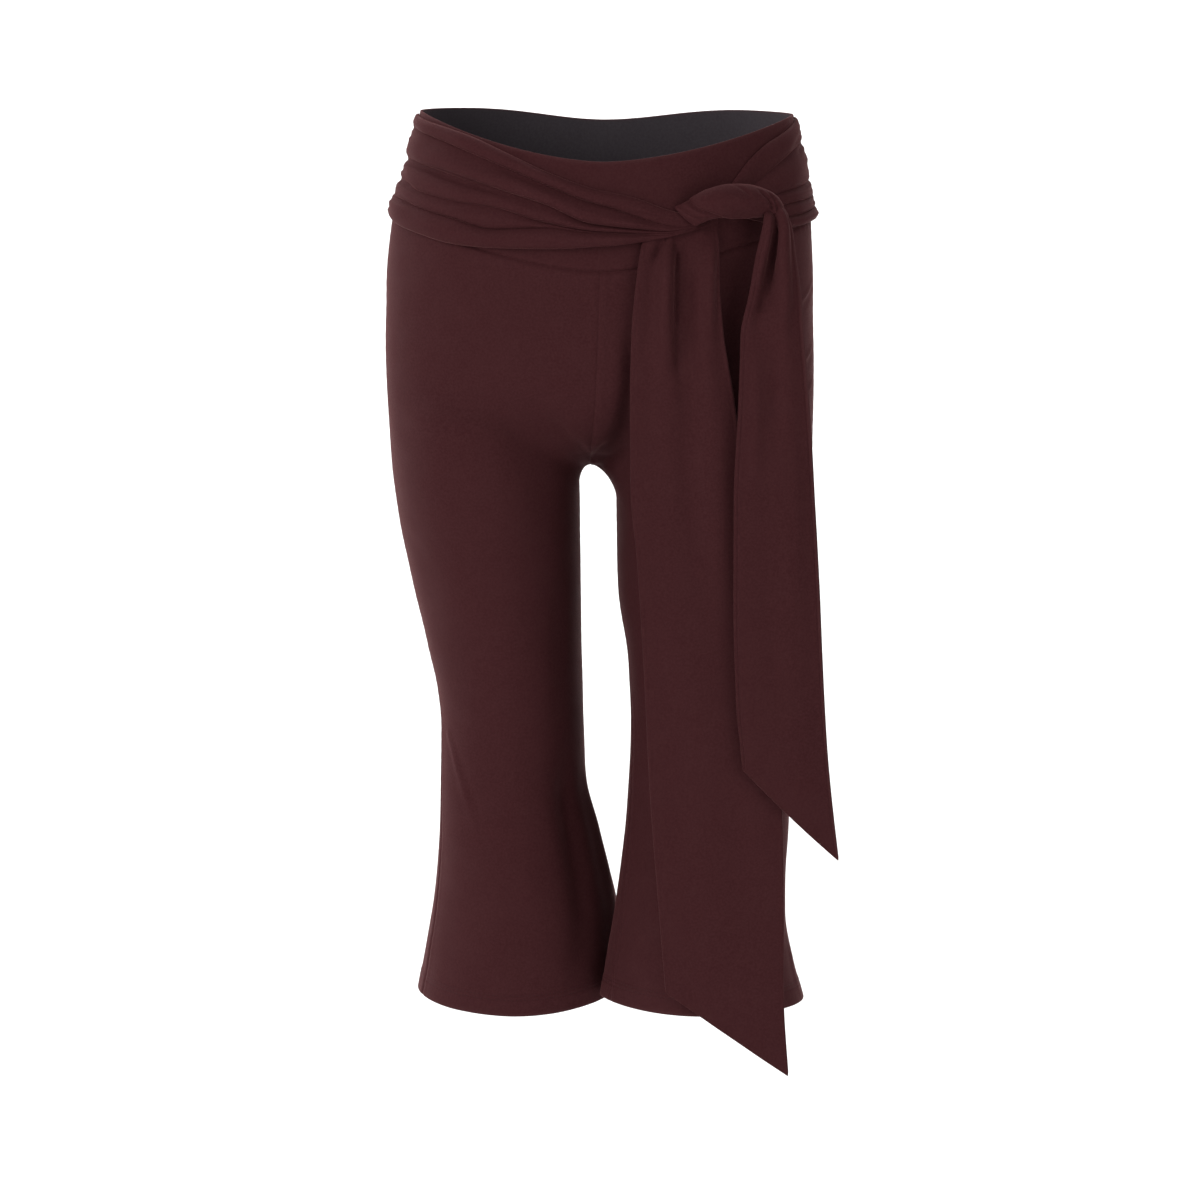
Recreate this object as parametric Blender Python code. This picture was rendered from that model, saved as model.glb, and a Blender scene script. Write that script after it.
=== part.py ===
"""Tie-waist capri pants in stretch knit, in the hollow form they have when worn.

Front, back, left and right are the wearer's: the front faces -Y and the wearer's right is at -X.
The origin is the middle of the waist opening, level with the tops of the side seams, and +Z is up.
All sizes in this file are millimetres; MM turns them into Blender's metres.

The garment is cut as a front and a back yoke, two front legs, two back legs and two long ties.
The ties are sewn into the side seams over the front yoke and knotted on the wearer's left hip.
"""
import math

import bmesh
import bpy
import numpy as np

MM = 0.001

# --- driving sizes ---------------------------------------------------------------------------
CLOTH = 1.6              # wall of the knit in yokes and legs
TIE_CLOTH = 2.2          # a tie is two layers, sewn round and turned out
SEAM_INSET = 0.2         # each piece stops this far short of its seam
LIFT = 0.6               # from the yoke's face to a tie that lies on it

CROTCH_Z = -258.0
SIDE_TOP = {"right": 3.0, "left": 0.0}            # tops of the side seams
WAIST_FRONT_Z = -31.0    # dipped middle of the waist edge
WAIST_BACK_Z = -7.0
WAIST_BACK_CREST = 3.0   # the back edge between its middle and the side seams
WAIST_FRONT_CURVE = 1.7
YOKE_SIDE_Z = {"right": -71.0, "left": -76.0}     # yoke seam at the side seams
YOKE_FRONT_Z = -109.0    # point of the V in front
YOKE_BACK_Z = -98.0
YOKE_CURVE = 1.5
EDGE_POWER = 0.9         # spreads the curves of waist and yoke seam round the torso
RISE_BLEND = {"front": 72.0, "back": 84.0}        # height over which torso turns into legs
CROTCH_FROM = 0.6        # share of the way to the inseam where the crotch's round corner starts
INSEAM_START = {"right": 5.0, "left": 26.0}       # drop in which the legs part under the crotch
INSIDE_YOKE = np.array((0.0, 0.0, -50.0))         # a point within the worn waist
LEG_INSIDE = 30.0        # from a leg panel's middle back into the leg

# --- rows and columns of the cloth grids -----------------------------------------------------
RISE_ROWS = 11
CROTCH_DROPS = (2.5, 7.0, 14.0, 25.0)             # rows just under the crotch
LEG_ROWS = 15
LEG_COLUMNS = 12
YOKE_ROWS = 5
YOKE_COLUMNS = 15        # from a side seam to the middle
BAND_COLUMNS_RIGHT = 24
BAND_COLUMNS_LEFT = 9
FOLD_STEPS = 4           # grid steps across one fold of a tie
KNOT_ROWS = 18
KNOT_POINTS = 16
TAIL_ROWS = 24
TAIL_ROW_GROWTH = 1.15   # rows lie closer where the tail is gathered
TAIL_COLUMNS = 12
CURVE_SAMPLES = 400      # fine steps along the curved middle seam
SHARP_ANGLE = math.radians(50)

FACE_SIGN = {"front": -1.0, "back": 1.0}
OTHER_FACE = {"front": "back", "back": "front"}

CLOTH_COLOUR = (0.052, 0.014, 0.015)
CLOTH_ROUGHNESS = 0.78


class Table:
    """Named columns over the first one, joined by smooth curves that never overshoot a row."""

    def __init__(self, columns, rows):
        data = np.array(sorted(rows), dtype=float)
        self.key = data[:, 0]
        self.column = {name: data[:, i + 1] for i, name in enumerate(columns[1:])}
        self.slope = {name: self.row_slopes(values) for name, values in self.column.items()}

    def row_slopes(self, values):
        steps = np.diff(values) / np.diff(self.key)
        before, after = steps[:-1], steps[1:]
        same_way = before * after > 0
        total = np.where(same_way, before + after, 1.0)
        middle = np.where(same_way, 2.0 * before * after / total, 0.0)
        return np.concatenate(([steps[0]], middle, [steps[-1]]))

    def at(self, name, key):
        key = np.clip(np.asarray(key, dtype=float), self.key[0], self.key[-1])
        row = np.clip(np.searchsorted(self.key, key) - 1, 0, len(self.key) - 2)
        width = self.key[row + 1] - self.key[row]
        u = (key - self.key[row]) / width
        values, slope = self.column[name], self.slope[name]
        return (values[row] * (1 + 2 * u) * (1 - u) ** 2 + values[row + 1] * u * u * (3 - 2 * u)
                + width * (slope[row] * u * (1 - u) ** 2 - slope[row + 1] * u * u * (1 - u)))


# --- the worn form ---------------------------------------------------------------------------
# One row for each height. outer and inner are the x of a leg's outermost and innermost lines,
# seam_y the depth of its middle, front and back how far it stands out from there. twist turns
# the leg's seams to the front at the outer side, and pinch narrows the inner half. square shapes
# the torso: 1 is an ellipse, less is squarer.
SECTION_COLUMNS = ("z", "outer", "inner", "seam_y", "front", "back", "twist", "pinch", "square")
SECTIONS = {
    "right": Table(SECTION_COLUMNS, (
        (3, -135.0, -19.0, 2, 94, 93, 0, 1.0, 0.95),
        (-36, -143.5, -19.0, 2, 97, 101, 0, 1.0, 0.93),
        (-70, -154.5, -19.0, 2, 101, 111, 0, 1.0, 0.90),
        (-126, -161.0, -19.0, 2, 101, 120, 0, 1.0, 0.86),
        (-186, -161.5, -19.0, 2, 98, 121, 0, 1.0, 0.80),
        (-258, -157.5, -18.8, 2, 88, 108, 0, 1.0, 0.78),
        (-299, -152.4, -18.3, 4, 83, 95, 0, 1.0, 0.78),
        (-348, -142.7, -17.5, 7, 75, 81, 1, 1.0, 0.78),
        (-393, -133.0, -16.9, 9, 68, 70, 3, 1.0, 0.78),
        (-430, -125.4, -15.9, 11, 62, 63, 6, 1.0, 0.78),
        (-460, -122.8, -15.2, 12, 59, 60, 9, 1.02, 0.78),
        (-500, -123.3, -13.4, 15, 59, 60, 12, 1.08, 0.78),
        (-540, -124.7, -4.5, 18, 63, 62, 14, 1.18, 0.78),
        (-592, -129.5, 9.4, 21, 70, 65, 17, 1.35, 0.78),
        (-628, -135.7, 15.8, 23, 75, 68, 18, 1.45, 0.78),
        (-665, -142.5, 21.5, 25, 80, 70, 19, 1.5, 0.78),
    )),
    "left": Table(SECTION_COLUMNS, (
        (3, 138.5, 9.0, 2, 94, 93, 0, 1.0, 0.95),
        (-36, 145.0, 9.0, 2, 97, 101, 0, 1.0, 0.93),
        (-70, 152.0, 9.0, 2, 101, 111, 0, 1.0, 0.90),
        (-126, 154.6, 9.0, 2, 101, 120, 0, 1.0, 0.86),
        (-186, 155.0, 9.0, 2, 98, 121, 0, 1.0, 0.80),
        (-258, 155.2, 9.0, 1, 88, 108, 0, 1.0, 0.78),
        (-299, 153.8, 9.4, -2, 83, 95, 0, 1.0, 0.78),
        (-348, 149.0, 11.0, -6, 75, 83, -2, 1.0, 0.78),
        (-410, 143.4, 18.4, -12, 66, 72, -7, 1.0, 0.78),
        (-449, 141.2, 19.8, -16, 60, 66, -12, 1.02, 0.78),
        (-490, 139.9, 18.7, -20, 58, 64, -16, 1.08, 0.78),
        (-524, 138.4, 16.5, -23, 59, 66, -19, 1.18, 0.78),
        (-563, 136.0, 11.5, -27, 62, 70, -22, 1.28, 0.78),
        (-592, 136.2, 7.5, -30, 64, 74, -24, 1.38, 0.78),
        (-628, 142.0, 1.5, -33, 67, 78, -25, 1.46, 0.78),
        (-656, 149.5, -3.0, -36, 69, 80, -26, 1.5, 0.78),
    )),
}

# Heights of the hems from the side seam (0) to the inseam (1), over the front and over the back.
HEM_COLUMNS = ("share", "front", "back")
HEMS = {
    "right": Table(HEM_COLUMNS, (
        (0.0, -663.0, -663.0), (0.35, -666.5, -662.5), (0.6, -663.0, -660.0),
        (0.85, -653.5, -654.0), (1.0, -649.5, -649.5),
    )),
    "left": Table(HEM_COLUMNS, (
        (0.0, -657.0, -657.0), (0.5, -653.5, -655.5), (1.0, -654.0, -654.0),
    )),
}

# x of the middle of the garment, from the waist down to the crotch
CENTRE = Table(("z", "x"), ((3, 1.0), (-109, -3.0), (-200, -6.0), (-258, -10.0)))


def smooth_step(value):
    value = np.clip(value, 0.0, 1.0)
    return value * value * (3.0 - 2.0 * value)


def quarter_arc(value):
    """Rises from 0 to 1 like a quarter of a circle, steep at the start."""
    return np.sqrt(np.clip(1.0 - (1.0 - np.clip(value, 0.0, 1.0)) ** 2, 0.0, 1.0))


def near_inseam(share):
    return smooth_step((share - CROTCH_FROM) / (1.0 - CROTCH_FROM))


def crotch_bridge(side, share, z):
    """Shift in x that carries a leg's inner line to the middle of the garment at the crotch."""
    apart = quarter_arc((CROTCH_Z - z) / INSEAM_START[side])
    gap = CENTRE.at("x", CROTCH_Z) - SECTIONS[side].at("inner", z)
    return gap * (1.0 - apart) * near_inseam(share)


def leg_xy(side, face, share, z):
    """A leg's ring: share 0 is the side seam and 1 the inseam, by way of the named face."""
    rows = SECTIONS[side]
    outer, inner = rows.at("outer", z), rows.at("inner", z)
    turn = np.radians(rows.at("twist", z)) * -FACE_SIGN[face]
    angle = math.pi * share + turn
    reach, lean = np.cos(angle), np.sin(angle)
    depth = np.where(lean >= 0, rows.at(face, z), rows.at(OTHER_FACE[face], z))
    power = np.where(reach >= 0, 1.0, rows.at("pinch", z))
    x = 0.5 * (outer + inner) + 0.5 * (outer - inner) * reach + crotch_bridge(side, share, z)
    y = rows.at("seam_y", z) + FACE_SIGN[face] * np.sign(lean) * depth * np.abs(lean) ** power
    return x, y


def torso_xy(side, face, share, z):
    """A quarter of the torso's ring: share 0 is the side seam and 1 the middle."""
    rows = SECTIONS[side]
    centre, power = CENTRE.at("x", z), rows.at("square", z)
    reach = np.clip(np.cos(0.5 * math.pi * share), 0.0, 1.0) ** power
    lean = np.clip(np.sin(0.5 * math.pi * share), 0.0, 1.0) ** power
    x = centre + (rows.at("outer", z) - centre) * reach
    y = rows.at("seam_y", z) + FACE_SIGN[face] * rows.at(face, z) * lean
    return x, y


def body(side, face, share, z):
    """Outer face of the worn cloth: torso above, legs below, and a round rise between them."""
    share, z = np.broadcast_arrays(np.asarray(share, float), np.asarray(z, float))
    height = (z - CROTCH_Z) / RISE_BLEND[face]
    slow, fast = smooth_step(height), quarter_arc(height)
    torso = slow + (fast - slow) * near_inseam(share)
    leg_x, leg_y = leg_xy(side, face, share, z)
    torso_x, torso_y = torso_xy(side, face, share, z)
    return np.stack((leg_x + (torso_x - leg_x) * torso, leg_y + (torso_y - leg_y) * torso, z), axis=-1)


def reach_share(share):
    """How far a torso point is out to the side: 1 at the side seam, 0 in the middle."""
    return np.clip(np.cos(0.5 * math.pi * share), 0.0, 1.0) ** EDGE_POWER


def waist_z(side, face, share):
    reach = reach_share(share)
    if face == "front":
        return SIDE_TOP[side] + (WAIST_FRONT_Z - SIDE_TOP[side]) * (1.0 - reach ** WAIST_FRONT_CURVE)
    crest = SIDE_TOP[side] + (WAIST_BACK_CREST - SIDE_TOP[side]) * (1.0 - reach ** 2)
    return crest + (WAIST_BACK_Z - WAIST_BACK_CREST) * (1.0 - reach ** 2) ** 4


def yoke_seam_z(side, face, share):
    low = YOKE_FRONT_Z if face == "front" else YOKE_BACK_Z
    reach = reach_share(share)
    return YOKE_SIDE_Z[side] + (low - YOKE_SIDE_Z[side]) * (1.0 - reach ** YOKE_CURVE)


# --- grids of cloth --------------------------------------------------------------------------
def even_along(points, count):
    """Shares of the length at count + 1 even steps, as shares of the point list."""
    lengths = np.concatenate(([0.0], np.cumsum(np.linalg.norm(np.diff(points, axis=0), axis=1))))
    return np.interp(np.linspace(0.0, lengths[-1], count + 1), lengths, np.linspace(0.0, 1.0, len(points)))


def leg_grid(side, face):
    """Points of a leg panel: rows from the yoke seam to the hem, columns from side seam to inseam."""
    share = np.linspace(0.0, 1.0, LEG_COLUMNS + 1)
    top = yoke_seam_z(side, face, share)

    # the rise: even heights at the side seam, even lengths along the curved middle seam
    fine = 1.0 - (1.0 - np.linspace(0.0, 1.0, CURVE_SAMPLES)) ** 3
    middle_z = top[-1] + (CROTCH_Z - top[-1]) * fine
    along_middle = np.interp(even_along(body(side, face, 1.0, middle_z), RISE_ROWS),
                             np.linspace(0.0, 1.0, len(fine)), fine)
    along_side = np.linspace(0.0, 1.0, RISE_ROWS + 1)
    drop = along_side[:, None] + (along_middle - along_side)[:, None] * share ** 2
    rise = top + (CROTCH_Z - top) * drop

    start = CROTCH_Z - CROTCH_DROPS[-1]
    under_crotch = CROTCH_Z - np.array(CROTCH_DROPS)[:, None] * np.ones_like(share)
    down = np.linspace(0.0, 1.0, LEG_ROWS + 1)[1:, None]
    leg = start + (HEMS[side].at(face, share) - start) * down
    return body(side, face, share, np.vstack((rise, under_crotch, leg)))


def yoke_grid(face):
    """Points of a yoke: rows from the waist to the V seam, columns from right to left."""
    halves = []
    for side in ("right", "left"):
        share = np.linspace(0.0, 1.0, YOKE_COLUMNS + 1)
        top, low = waist_z(side, face, share), yoke_seam_z(side, face, share)
        rows = np.linspace(0.0, 1.0, YOKE_ROWS + 1)[:, None]
        halves.append(body(side, face, share, top + (low - top) * rows))
    return np.concatenate((halves[0], halves[1][:, -2::-1]), axis=1)


def grid_normals(points):
    """Unnormalised normals of a grid, one-sided at its edges."""
    across = np.gradient(points, axis=1)
    down = np.gradient(points, axis=0)
    return np.cross(across, down)


def outward(points, normals, centre_of):
    """Turns the normals away from a point inside, given for each grid by centre_of."""
    facing = np.sum(normals * (points - centre_of), axis=-1).sum()
    return normals if facing > 0 else -normals


def shared_normals(grids, insides):
    """Unit normals of several grids; points that lie together share one normal."""
    sums, raw = {}, {}
    for name, points in grids.items():
        normals = outward(points, grid_normals(points), insides[name])
        lengths = np.maximum(np.linalg.norm(normals, axis=-1, keepdims=True), 1e-9)
        raw[name] = normals / lengths
        for point, normal in zip(points.reshape(-1, 3), raw[name].reshape(-1, 3)):
            key = tuple(np.round(point, 1))
            sums[key] = sums.get(key, 0.0) + normal
    result = {}
    for name, points in grids.items():
        flat = [sums[tuple(np.round(point, 1))] for point in points.reshape(-1, 3)]
        flat = np.array(flat).reshape(points.shape)
        result[name] = flat / np.maximum(np.linalg.norm(flat, axis=-1, keepdims=True), 1e-9)
    return result


def inset_edges(points, edges):
    """Draws the named edges of a grid inwards by the seam gap."""
    moved = points.copy()
    neighbours = {"top": (np.s_[0], np.s_[1]), "low": (np.s_[-1], np.s_[-2]),
                  "start": (np.s_[:, 0], np.s_[:, 1]), "end": (np.s_[:, -1], np.s_[:, -2])}
    for edge in edges:
        here, inside = neighbours[edge]
        step = points[inside] - points[here]
        length = np.maximum(np.linalg.norm(step, axis=-1, keepdims=True), 1e-9)
        moved[here] += step / length * SEAM_INSET
    return moved


# --- solids ----------------------------------------------------------------------------------
def new_object(name, work, material):
    """Makes an object from a bmesh in millimetres."""
    bmesh.ops.recalc_face_normals(work, faces=work.faces)
    bmesh.ops.scale(work, vec=(MM, MM, MM), verts=work.verts)
    mesh = bpy.data.meshes.new(name)
    work.to_mesh(mesh)
    work.free()
    mesh.shade_smooth()
    mesh.set_sharp_from_angle(angle=SHARP_ANGLE)
    mesh.materials.append(material)
    thing = bpy.data.objects.new(name, mesh)
    bpy.context.scene.collection.objects.link(thing)
    return thing


def wall_solid(name, outer, inner, material):
    """Closes two grids of the same size into one wall with rims."""
    rows, columns = outer.shape[:2]
    work = bmesh.new()
    skin = [[[work.verts.new(point) for point in row] for row in grid] for grid in (outer, inner)]
    for grid in skin:
        for i in range(rows - 1):
            for j in range(columns - 1):
                work.faces.new((grid[i][j], grid[i][j + 1], grid[i + 1][j + 1], grid[i + 1][j]))
    rim = ([(0, j) for j in range(columns)] + [(i, columns - 1) for i in range(1, rows)]
           + [(rows - 1, j) for j in range(columns - 2, -1, -1)] + [(i, 0) for i in range(rows - 2, 0, -1)])
    for (i, j), (k, m) in zip(rim, rim[1:] + rim[:1]):
        work.faces.new((skin[0][i][j], skin[1][i][j], skin[1][k][m], skin[0][k][m]))
    return new_object(name, work, material)


def ring_solid(name, rings, material):
    """Closes a row of rings into one solid with flat ends."""
    work = bmesh.new()
    loops = [[work.verts.new(point) for point in ring] for ring in rings]
    count = len(loops[0])
    for first, second in zip(loops, loops[1:]):
        for j in range(count):
            k = (j + 1) % count
            work.faces.new((first[j], first[k], second[k], second[j]))
    work.faces.new(loops[0])
    work.faces.new(loops[-1])
    return new_object(name, work, material)


def body_panels(material):
    """Both yokes and the four leg panels, with their walls inside the worn form."""
    grids, insides, edges = {}, {}, {}
    for face in ("front", "back"):
        name = f"{face}_yoke"
        grids[name] = yoke_grid(face)
        insides[name] = INSIDE_YOKE
        edges[name] = ("low", "start", "end")
        for side in ("right", "left"):
            name = f"{face}_leg_{side}"
            grids[name] = leg_grid(side, face)
            middle = 0.5 * (grids[name][:, :1] + grids[name][:, -1:])
            insides[name] = middle - (0.0, FACE_SIGN[face] * LEG_INSIDE, 0.0)
            edges[name] = ("top", "start", "end")
    normals = shared_normals(grids, insides)
    for name, points in grids.items():
        inner = points - normals[name] * CLOTH
        wall_solid(name, inset_edges(points, edges[name]), inset_edges(inner, edges[name]), material)


# --- the ties where they lie on the yoke -----------------------------------------------------
# around runs from -1 at the right side seam over 0 in the middle to 1 at the left side seam.
# The other columns are heights: the edges of the band and the valleys between its folds.
BAND_COLUMNS = ("around", "top", "valley_1", "valley_2", "valley_3", "bottom")
BANDS = {
    "right": Table(BAND_COLUMNS, (
        (-1.00, 0.5, -9.0, -29.0, -52.0, -70.0),
        (-0.80, -3.0, -11.5, -33.0, -57.0, -78.0),
        (-0.615, -7.5, -15.5, -37.0, -62.0, -84.0),
        (-0.46, -14.0, -23.0, -43.0, -63.0, -89.5),
        (-0.304, -25.5, -34.4, -50.7, -64.5, -92.0),
        (-0.142, -40.0, -48.2, -62.0, -72.7, -92.4),
        (-0.02, -50.2, -58.7, -71.5, -79.5, -90.8),
        (0.09, -58.7, -67.0, -75.5, -81.0, -87.0),
        (0.165, -64.0, -70.0, -75.2, -79.6, -84.0),
    )),
    "left": Table(BAND_COLUMNS, (
        (1.00, -2.0, -20.0, -45.0, -58.0, -74.0),
        (0.80, -9.5, -26.0, -49.5, -62.0, -77.0),
        (0.69, -14.5, -30.0, -52.0, -64.0, -79.0),
        (0.60, -20.0, -37.0, -55.5, -65.5, -77.5),
        (0.50, -31.0, -46.5, -58.5, -66.0, -74.0),
        (0.41, -46.5, -53.0, -59.0, -64.5, -70.0),
    )),
}
FOLD_HEIGHTS = {"right": (4.2, 6.0, 4.0, 5.0), "left": (3.0, 4.6, 4.0, 6.2)}
FOLD_HEIGHT_AT_SEAM = 0.08   # share of the full height where the band is sewn in
FOLD_HEIGHT_AT_SIDE = 0.6    # and where it leaves the gathers
SEAM_REACH, SIDE_REACH = 0.05, 0.3
FOLD_HEIGHT_AT_KNOT = {"right": 0.7, "left": 0.3}
FOLD_PRESS = {"right": (0.9, 1.16), "left": (0.22, 0.5)}   # how far round the knot presses them
GATHER_WAVES = 11            # short gathers along the side seam
GATHER_HEIGHT = 0.9
GATHER_REACH = 0.16          # how far round they run out
FOLD_ROUNDNESS = 0.8         # power of the sine across a fold: below 1 is fuller
STEP_ROUND, STEP_Z = 0.004, 0.5    # steps that give the torso's slope


def torso_point(around, z):
    """A point on the front of the torso, from right (-1) to left (1)."""
    around, z = np.broadcast_arrays(np.asarray(around, float), np.asarray(z, float))
    share = 1.0 - np.abs(around)
    points = np.where((around < 0)[..., None], body("right", "front", share, z),
                      body("left", "front", share, z))
    return points


def torso_normal(around, z):
    inside = np.clip(around, -1.0 + STEP_ROUND, 1.0 - STEP_ROUND)
    across = torso_point(inside + STEP_ROUND, z) - torso_point(inside - STEP_ROUND, z)
    up = torso_point(inside, z + STEP_Z) - torso_point(inside, z - STEP_Z)
    normal = np.cross(across, up)
    return normal / np.linalg.norm(normal, axis=-1, keepdims=True)


def band_grids(side, columns):
    """Inner and outer grid of a tie's band: rows down its folds, columns away from the side seam."""
    rows = BANDS[side]
    ends = (rows.key[0], rows.key[-1]) if side == "right" else (rows.key[-1], rows.key[0])
    around = np.linspace(*ends, columns + 1)
    out = np.abs(around - ends[0])
    lines = [rows.at(name, around) for name in BAND_COLUMNS[1:]]
    swell = FOLD_HEIGHT_AT_SEAM + (FOLD_HEIGHT_AT_SIDE - FOLD_HEIGHT_AT_SEAM) * smooth_step(out / SEAM_REACH)
    swell += (1.0 - FOLD_HEIGHT_AT_SIDE) * smooth_step(out / SIDE_REACH)
    press_from, press_to = FOLD_PRESS[side]
    pressed = smooth_step((out - press_from) / (press_to - press_from))
    swell *= 1.0 + (FOLD_HEIGHT_AT_KNOT[side] - 1.0) * pressed
    gather = GATHER_HEIGHT * (1.0 - smooth_step(out / GATHER_REACH))
    heights, fold_height = [lines[0]], [np.zeros_like(around)]
    for upper, lower, height in zip(lines, lines[1:], FOLD_HEIGHTS[side]):
        for step in range(1, FOLD_STEPS + 1):
            part = step / FOLD_STEPS
            heights.append(upper + (lower - upper) * part)
            fold_height.append(height * swell * math.sin(math.pi * part) ** FOLD_ROUNDNESS)
    z = np.array(heights)
    lift = np.array(fold_height)
    down = (z - z[0]) / (z[-1] - z[0])
    lift += gather * (0.5 + 0.5 * np.cos(2.0 * math.pi * GATHER_WAVES * down))
    around = np.broadcast_to(around, z.shape)
    base, normal = torso_point(around, z), torso_normal(around, z)
    inner = base + normal * (LIFT + lift)[..., None]
    outer = inner + normal * TIE_CLOTH
    return outer, inner


# --- the knot ---------------------------------------------------------------------------------
# The right tie's roll over the left tie: places of its middle, its half height and half depth.
KNOT_COLUMNS = ("along", "x", "y", "z", "tall", "deep")
KNOT = Table(KNOT_COLUMNS, (
    (0.00, 45.2, -102.4, -74.0, 9.4, 4.6),
    (0.14, 55.0, -105.0, -70.0, 11.4, 7.0),
    (0.32, 69.0, -105.5, -62.8, 13.4, 9.2),
    (0.50, 84.5, -102.0, -59.4, 14.4, 10.6),
    (0.70, 101.0, -96.0, -59.2, 13.6, 10.6),
    (0.84, 112.8, -91.0, -61.4, 11.0, 9.8),
    (0.94, 120.6, -88.0, -67.6, 8.2, 8.6),
    (1.00, 124.0, -86.0, -77.0, 7.8, 7.6),
))
KNOT_CREASES = 3
KNOT_CREASE_DEPTH = 0.15     # share of the roll's radius
KNOT_TWIST = 2.6             # turn of the creases, in radians, from one end to the other
KNOT_UPRIGHT = 0.4           # the rings start upright, like the end of the band, and lean over by here
KNOT_HANG = np.array((-0.35, -0.94, 0.0))   # way out of the yoke where the roll turns down


def knot_rings():
    along = np.linspace(0.0, 1.0, KNOT_ROWS + 1)
    middle = np.stack([KNOT.at(name, along) for name in ("x", "y", "z")], axis=-1)
    heading = np.gradient(middle, axis=0)
    heading[:, 2] *= smooth_step(along / KNOT_UPRIGHT)
    heading /= np.linalg.norm(heading, axis=1, keepdims=True)
    angles = np.linspace(0.0, 2.0 * math.pi, KNOT_POINTS, endpoint=False)
    rings = []
    for i, share in enumerate(along):
        outwards = np.cross(heading[i], (0.0, 0.0, 1.0))
        outwards = outwards if abs(heading[i][2]) < 0.9 else KNOT_HANG
        outwards = outwards / np.linalg.norm(outwards)
        if outwards[1] > 0:
            outwards = -outwards
        upwards = np.cross(heading[i], outwards)
        tall, deep = KNOT.at("tall", share), KNOT.at("deep", share)
        crease = 1.0 - KNOT_CREASE_DEPTH * (0.5 + 0.5 * np.cos(KNOT_CREASES * angles + KNOT_TWIST * share))
        ring = (middle[i] + np.outer(np.cos(angles) * deep * crease, outwards)
                + np.outer(np.sin(angles) * tall * crease, upwards))
        rings.append(ring)
    return rings


# --- the hanging tails -----------------------------------------------------------------------
# One row for each height. left and right are the x of the edges as seen from the front, y the
# middle's depth, lean how far the right edge is in front of (-) or behind (+) the left one,
# and wave the height of the folds that run down the tail.
TAIL_COLUMNS_NAMES = ("z", "left", "right", "y", "lean", "wave")
TAILS = {
    "left": Table(TAIL_COLUMNS_NAMES, (
        (-70, 31.0, 79.0, -99.5, 15.0, 1.2),
        (-90, 27.0, 81.0, -106.0, 8.0, 3.2),
        (-110, 24.4, 81.4, -108.5, 4.0, 5.0),
        (-150, 20.6, 84.2, -109.0, 2.0, 4.4),
        (-200, 19.4, 92.3, -108.5, 0.0, 3.0),
        (-265, 20.0, 101.0, -109.0, 0.0, 2.0),
        (-316, 24.6, 107.0, -109.5, 0.0, 1.4),
        (-394, 29.5, 117.0, -110.0, 0.0, 1.0),
        (-484, 34.0, 128.0, -111.5, -1.0, 0.8),
        (-565, 40.0, 130.2, -113.0, -1.0, 0.8),
        (-638, 46.0, 130.8, -114.0, -1.0, 1.0),
        (-697, 51.0, 134.6, -114.0, -1.0, 1.0),
    )),
    "right": Table(TAIL_COLUMNS_NAMES, (
        (-78, 115.5, 132.5, -80.5, 3.0, 4.5),
        (-97, 109.4, 135.0, -88.5, 3.0, 5.5),
        (-125, 104.3, 139.3, -100.0, 2.0, 5.0),
        (-153, 98.5, 141.6, -108.0, 2.0, 4.0),
        (-178, 97.8, 144.0, -113.0, 3.0, 3.0),
        (-213, 96.4, 146.8, -116.5, 6.0, 2.2),
        (-271, 93.8, 150.4, -118.0, 8.0, 1.4),
        (-343, 93.8, 154.7, -119.0, 8.0, 1.0),
        (-417, 96.0, 158.5, -120.0, 7.0, 0.8),
        (-467, 100.6, 162.0, -120.5, 6.0, 0.8),
        (-534, 104.0, 169.8, -121.0, 5.0, 0.8),
    )),
}
TAIL_ENDS = {     # heights of the top and of the slanted end, at the left and the right edge
    "left": {"top": (-87.3, -72.5), "low": (-634.5, -696.5)},
    "right": {"top": (-78.6, -78.6), "low": (-466.5, -534.0)},
}
TAIL_TOP_CURVE = 1.8
TAIL_WAVES = {"left": 2.5, "right": 1.5}
TAIL_BOW = 2.5               # the edges of a tail curl back from its middle


def tail_middle(side):
    """Middle surface of a tail: rows from the knot down, columns from left to right as seen."""
    rows, ends = TAILS[side], TAIL_ENDS[side]
    share = np.linspace(0.0, 1.0, TAIL_COLUMNS + 1)
    fall = np.linspace(0.0, 1.0, TAIL_ROWS + 1)[:, None] ** TAIL_ROW_GROWTH
    top = ends["top"][0] + (ends["top"][1] - ends["top"][0]) * share ** TAIL_TOP_CURVE
    low = ends["low"][0] + (ends["low"][1] - ends["low"][0]) * share
    z = top + (low - top) * fall
    left, right = rows.at("left", z), rows.at("right", z)
    wave = rows.at("wave", z) * np.cos(2.0 * math.pi * TAIL_WAVES[side] * share)
    bow = TAIL_BOW * (2.0 * share - 1.0) ** 2
    x = left + (right - left) * share
    y = rows.at("y", z) + rows.at("lean", z) * (share - 0.5) - wave + bow
    return np.stack((x, y, z), axis=-1)


def tail_grids(side):
    middle = tail_middle(side)
    normal = grid_normals(middle)
    normal = normal / np.linalg.norm(normal, axis=-1, keepdims=True)
    if normal[..., 1].sum() > 0:
        normal = -normal
    return middle + normal * TIE_CLOTH / 2.0, middle - normal * TIE_CLOTH / 2.0


def ties(material):
    for side, columns in (("right", BAND_COLUMNS_RIGHT), ("left", BAND_COLUMNS_LEFT)):
        wall_solid(f"tie_{side}_band", *band_grids(side, columns), material)
        wall_solid(f"tie_{side}_tail", *tail_grids(side), material)
    ring_solid("tie_knot", knot_rings(), material)


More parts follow.
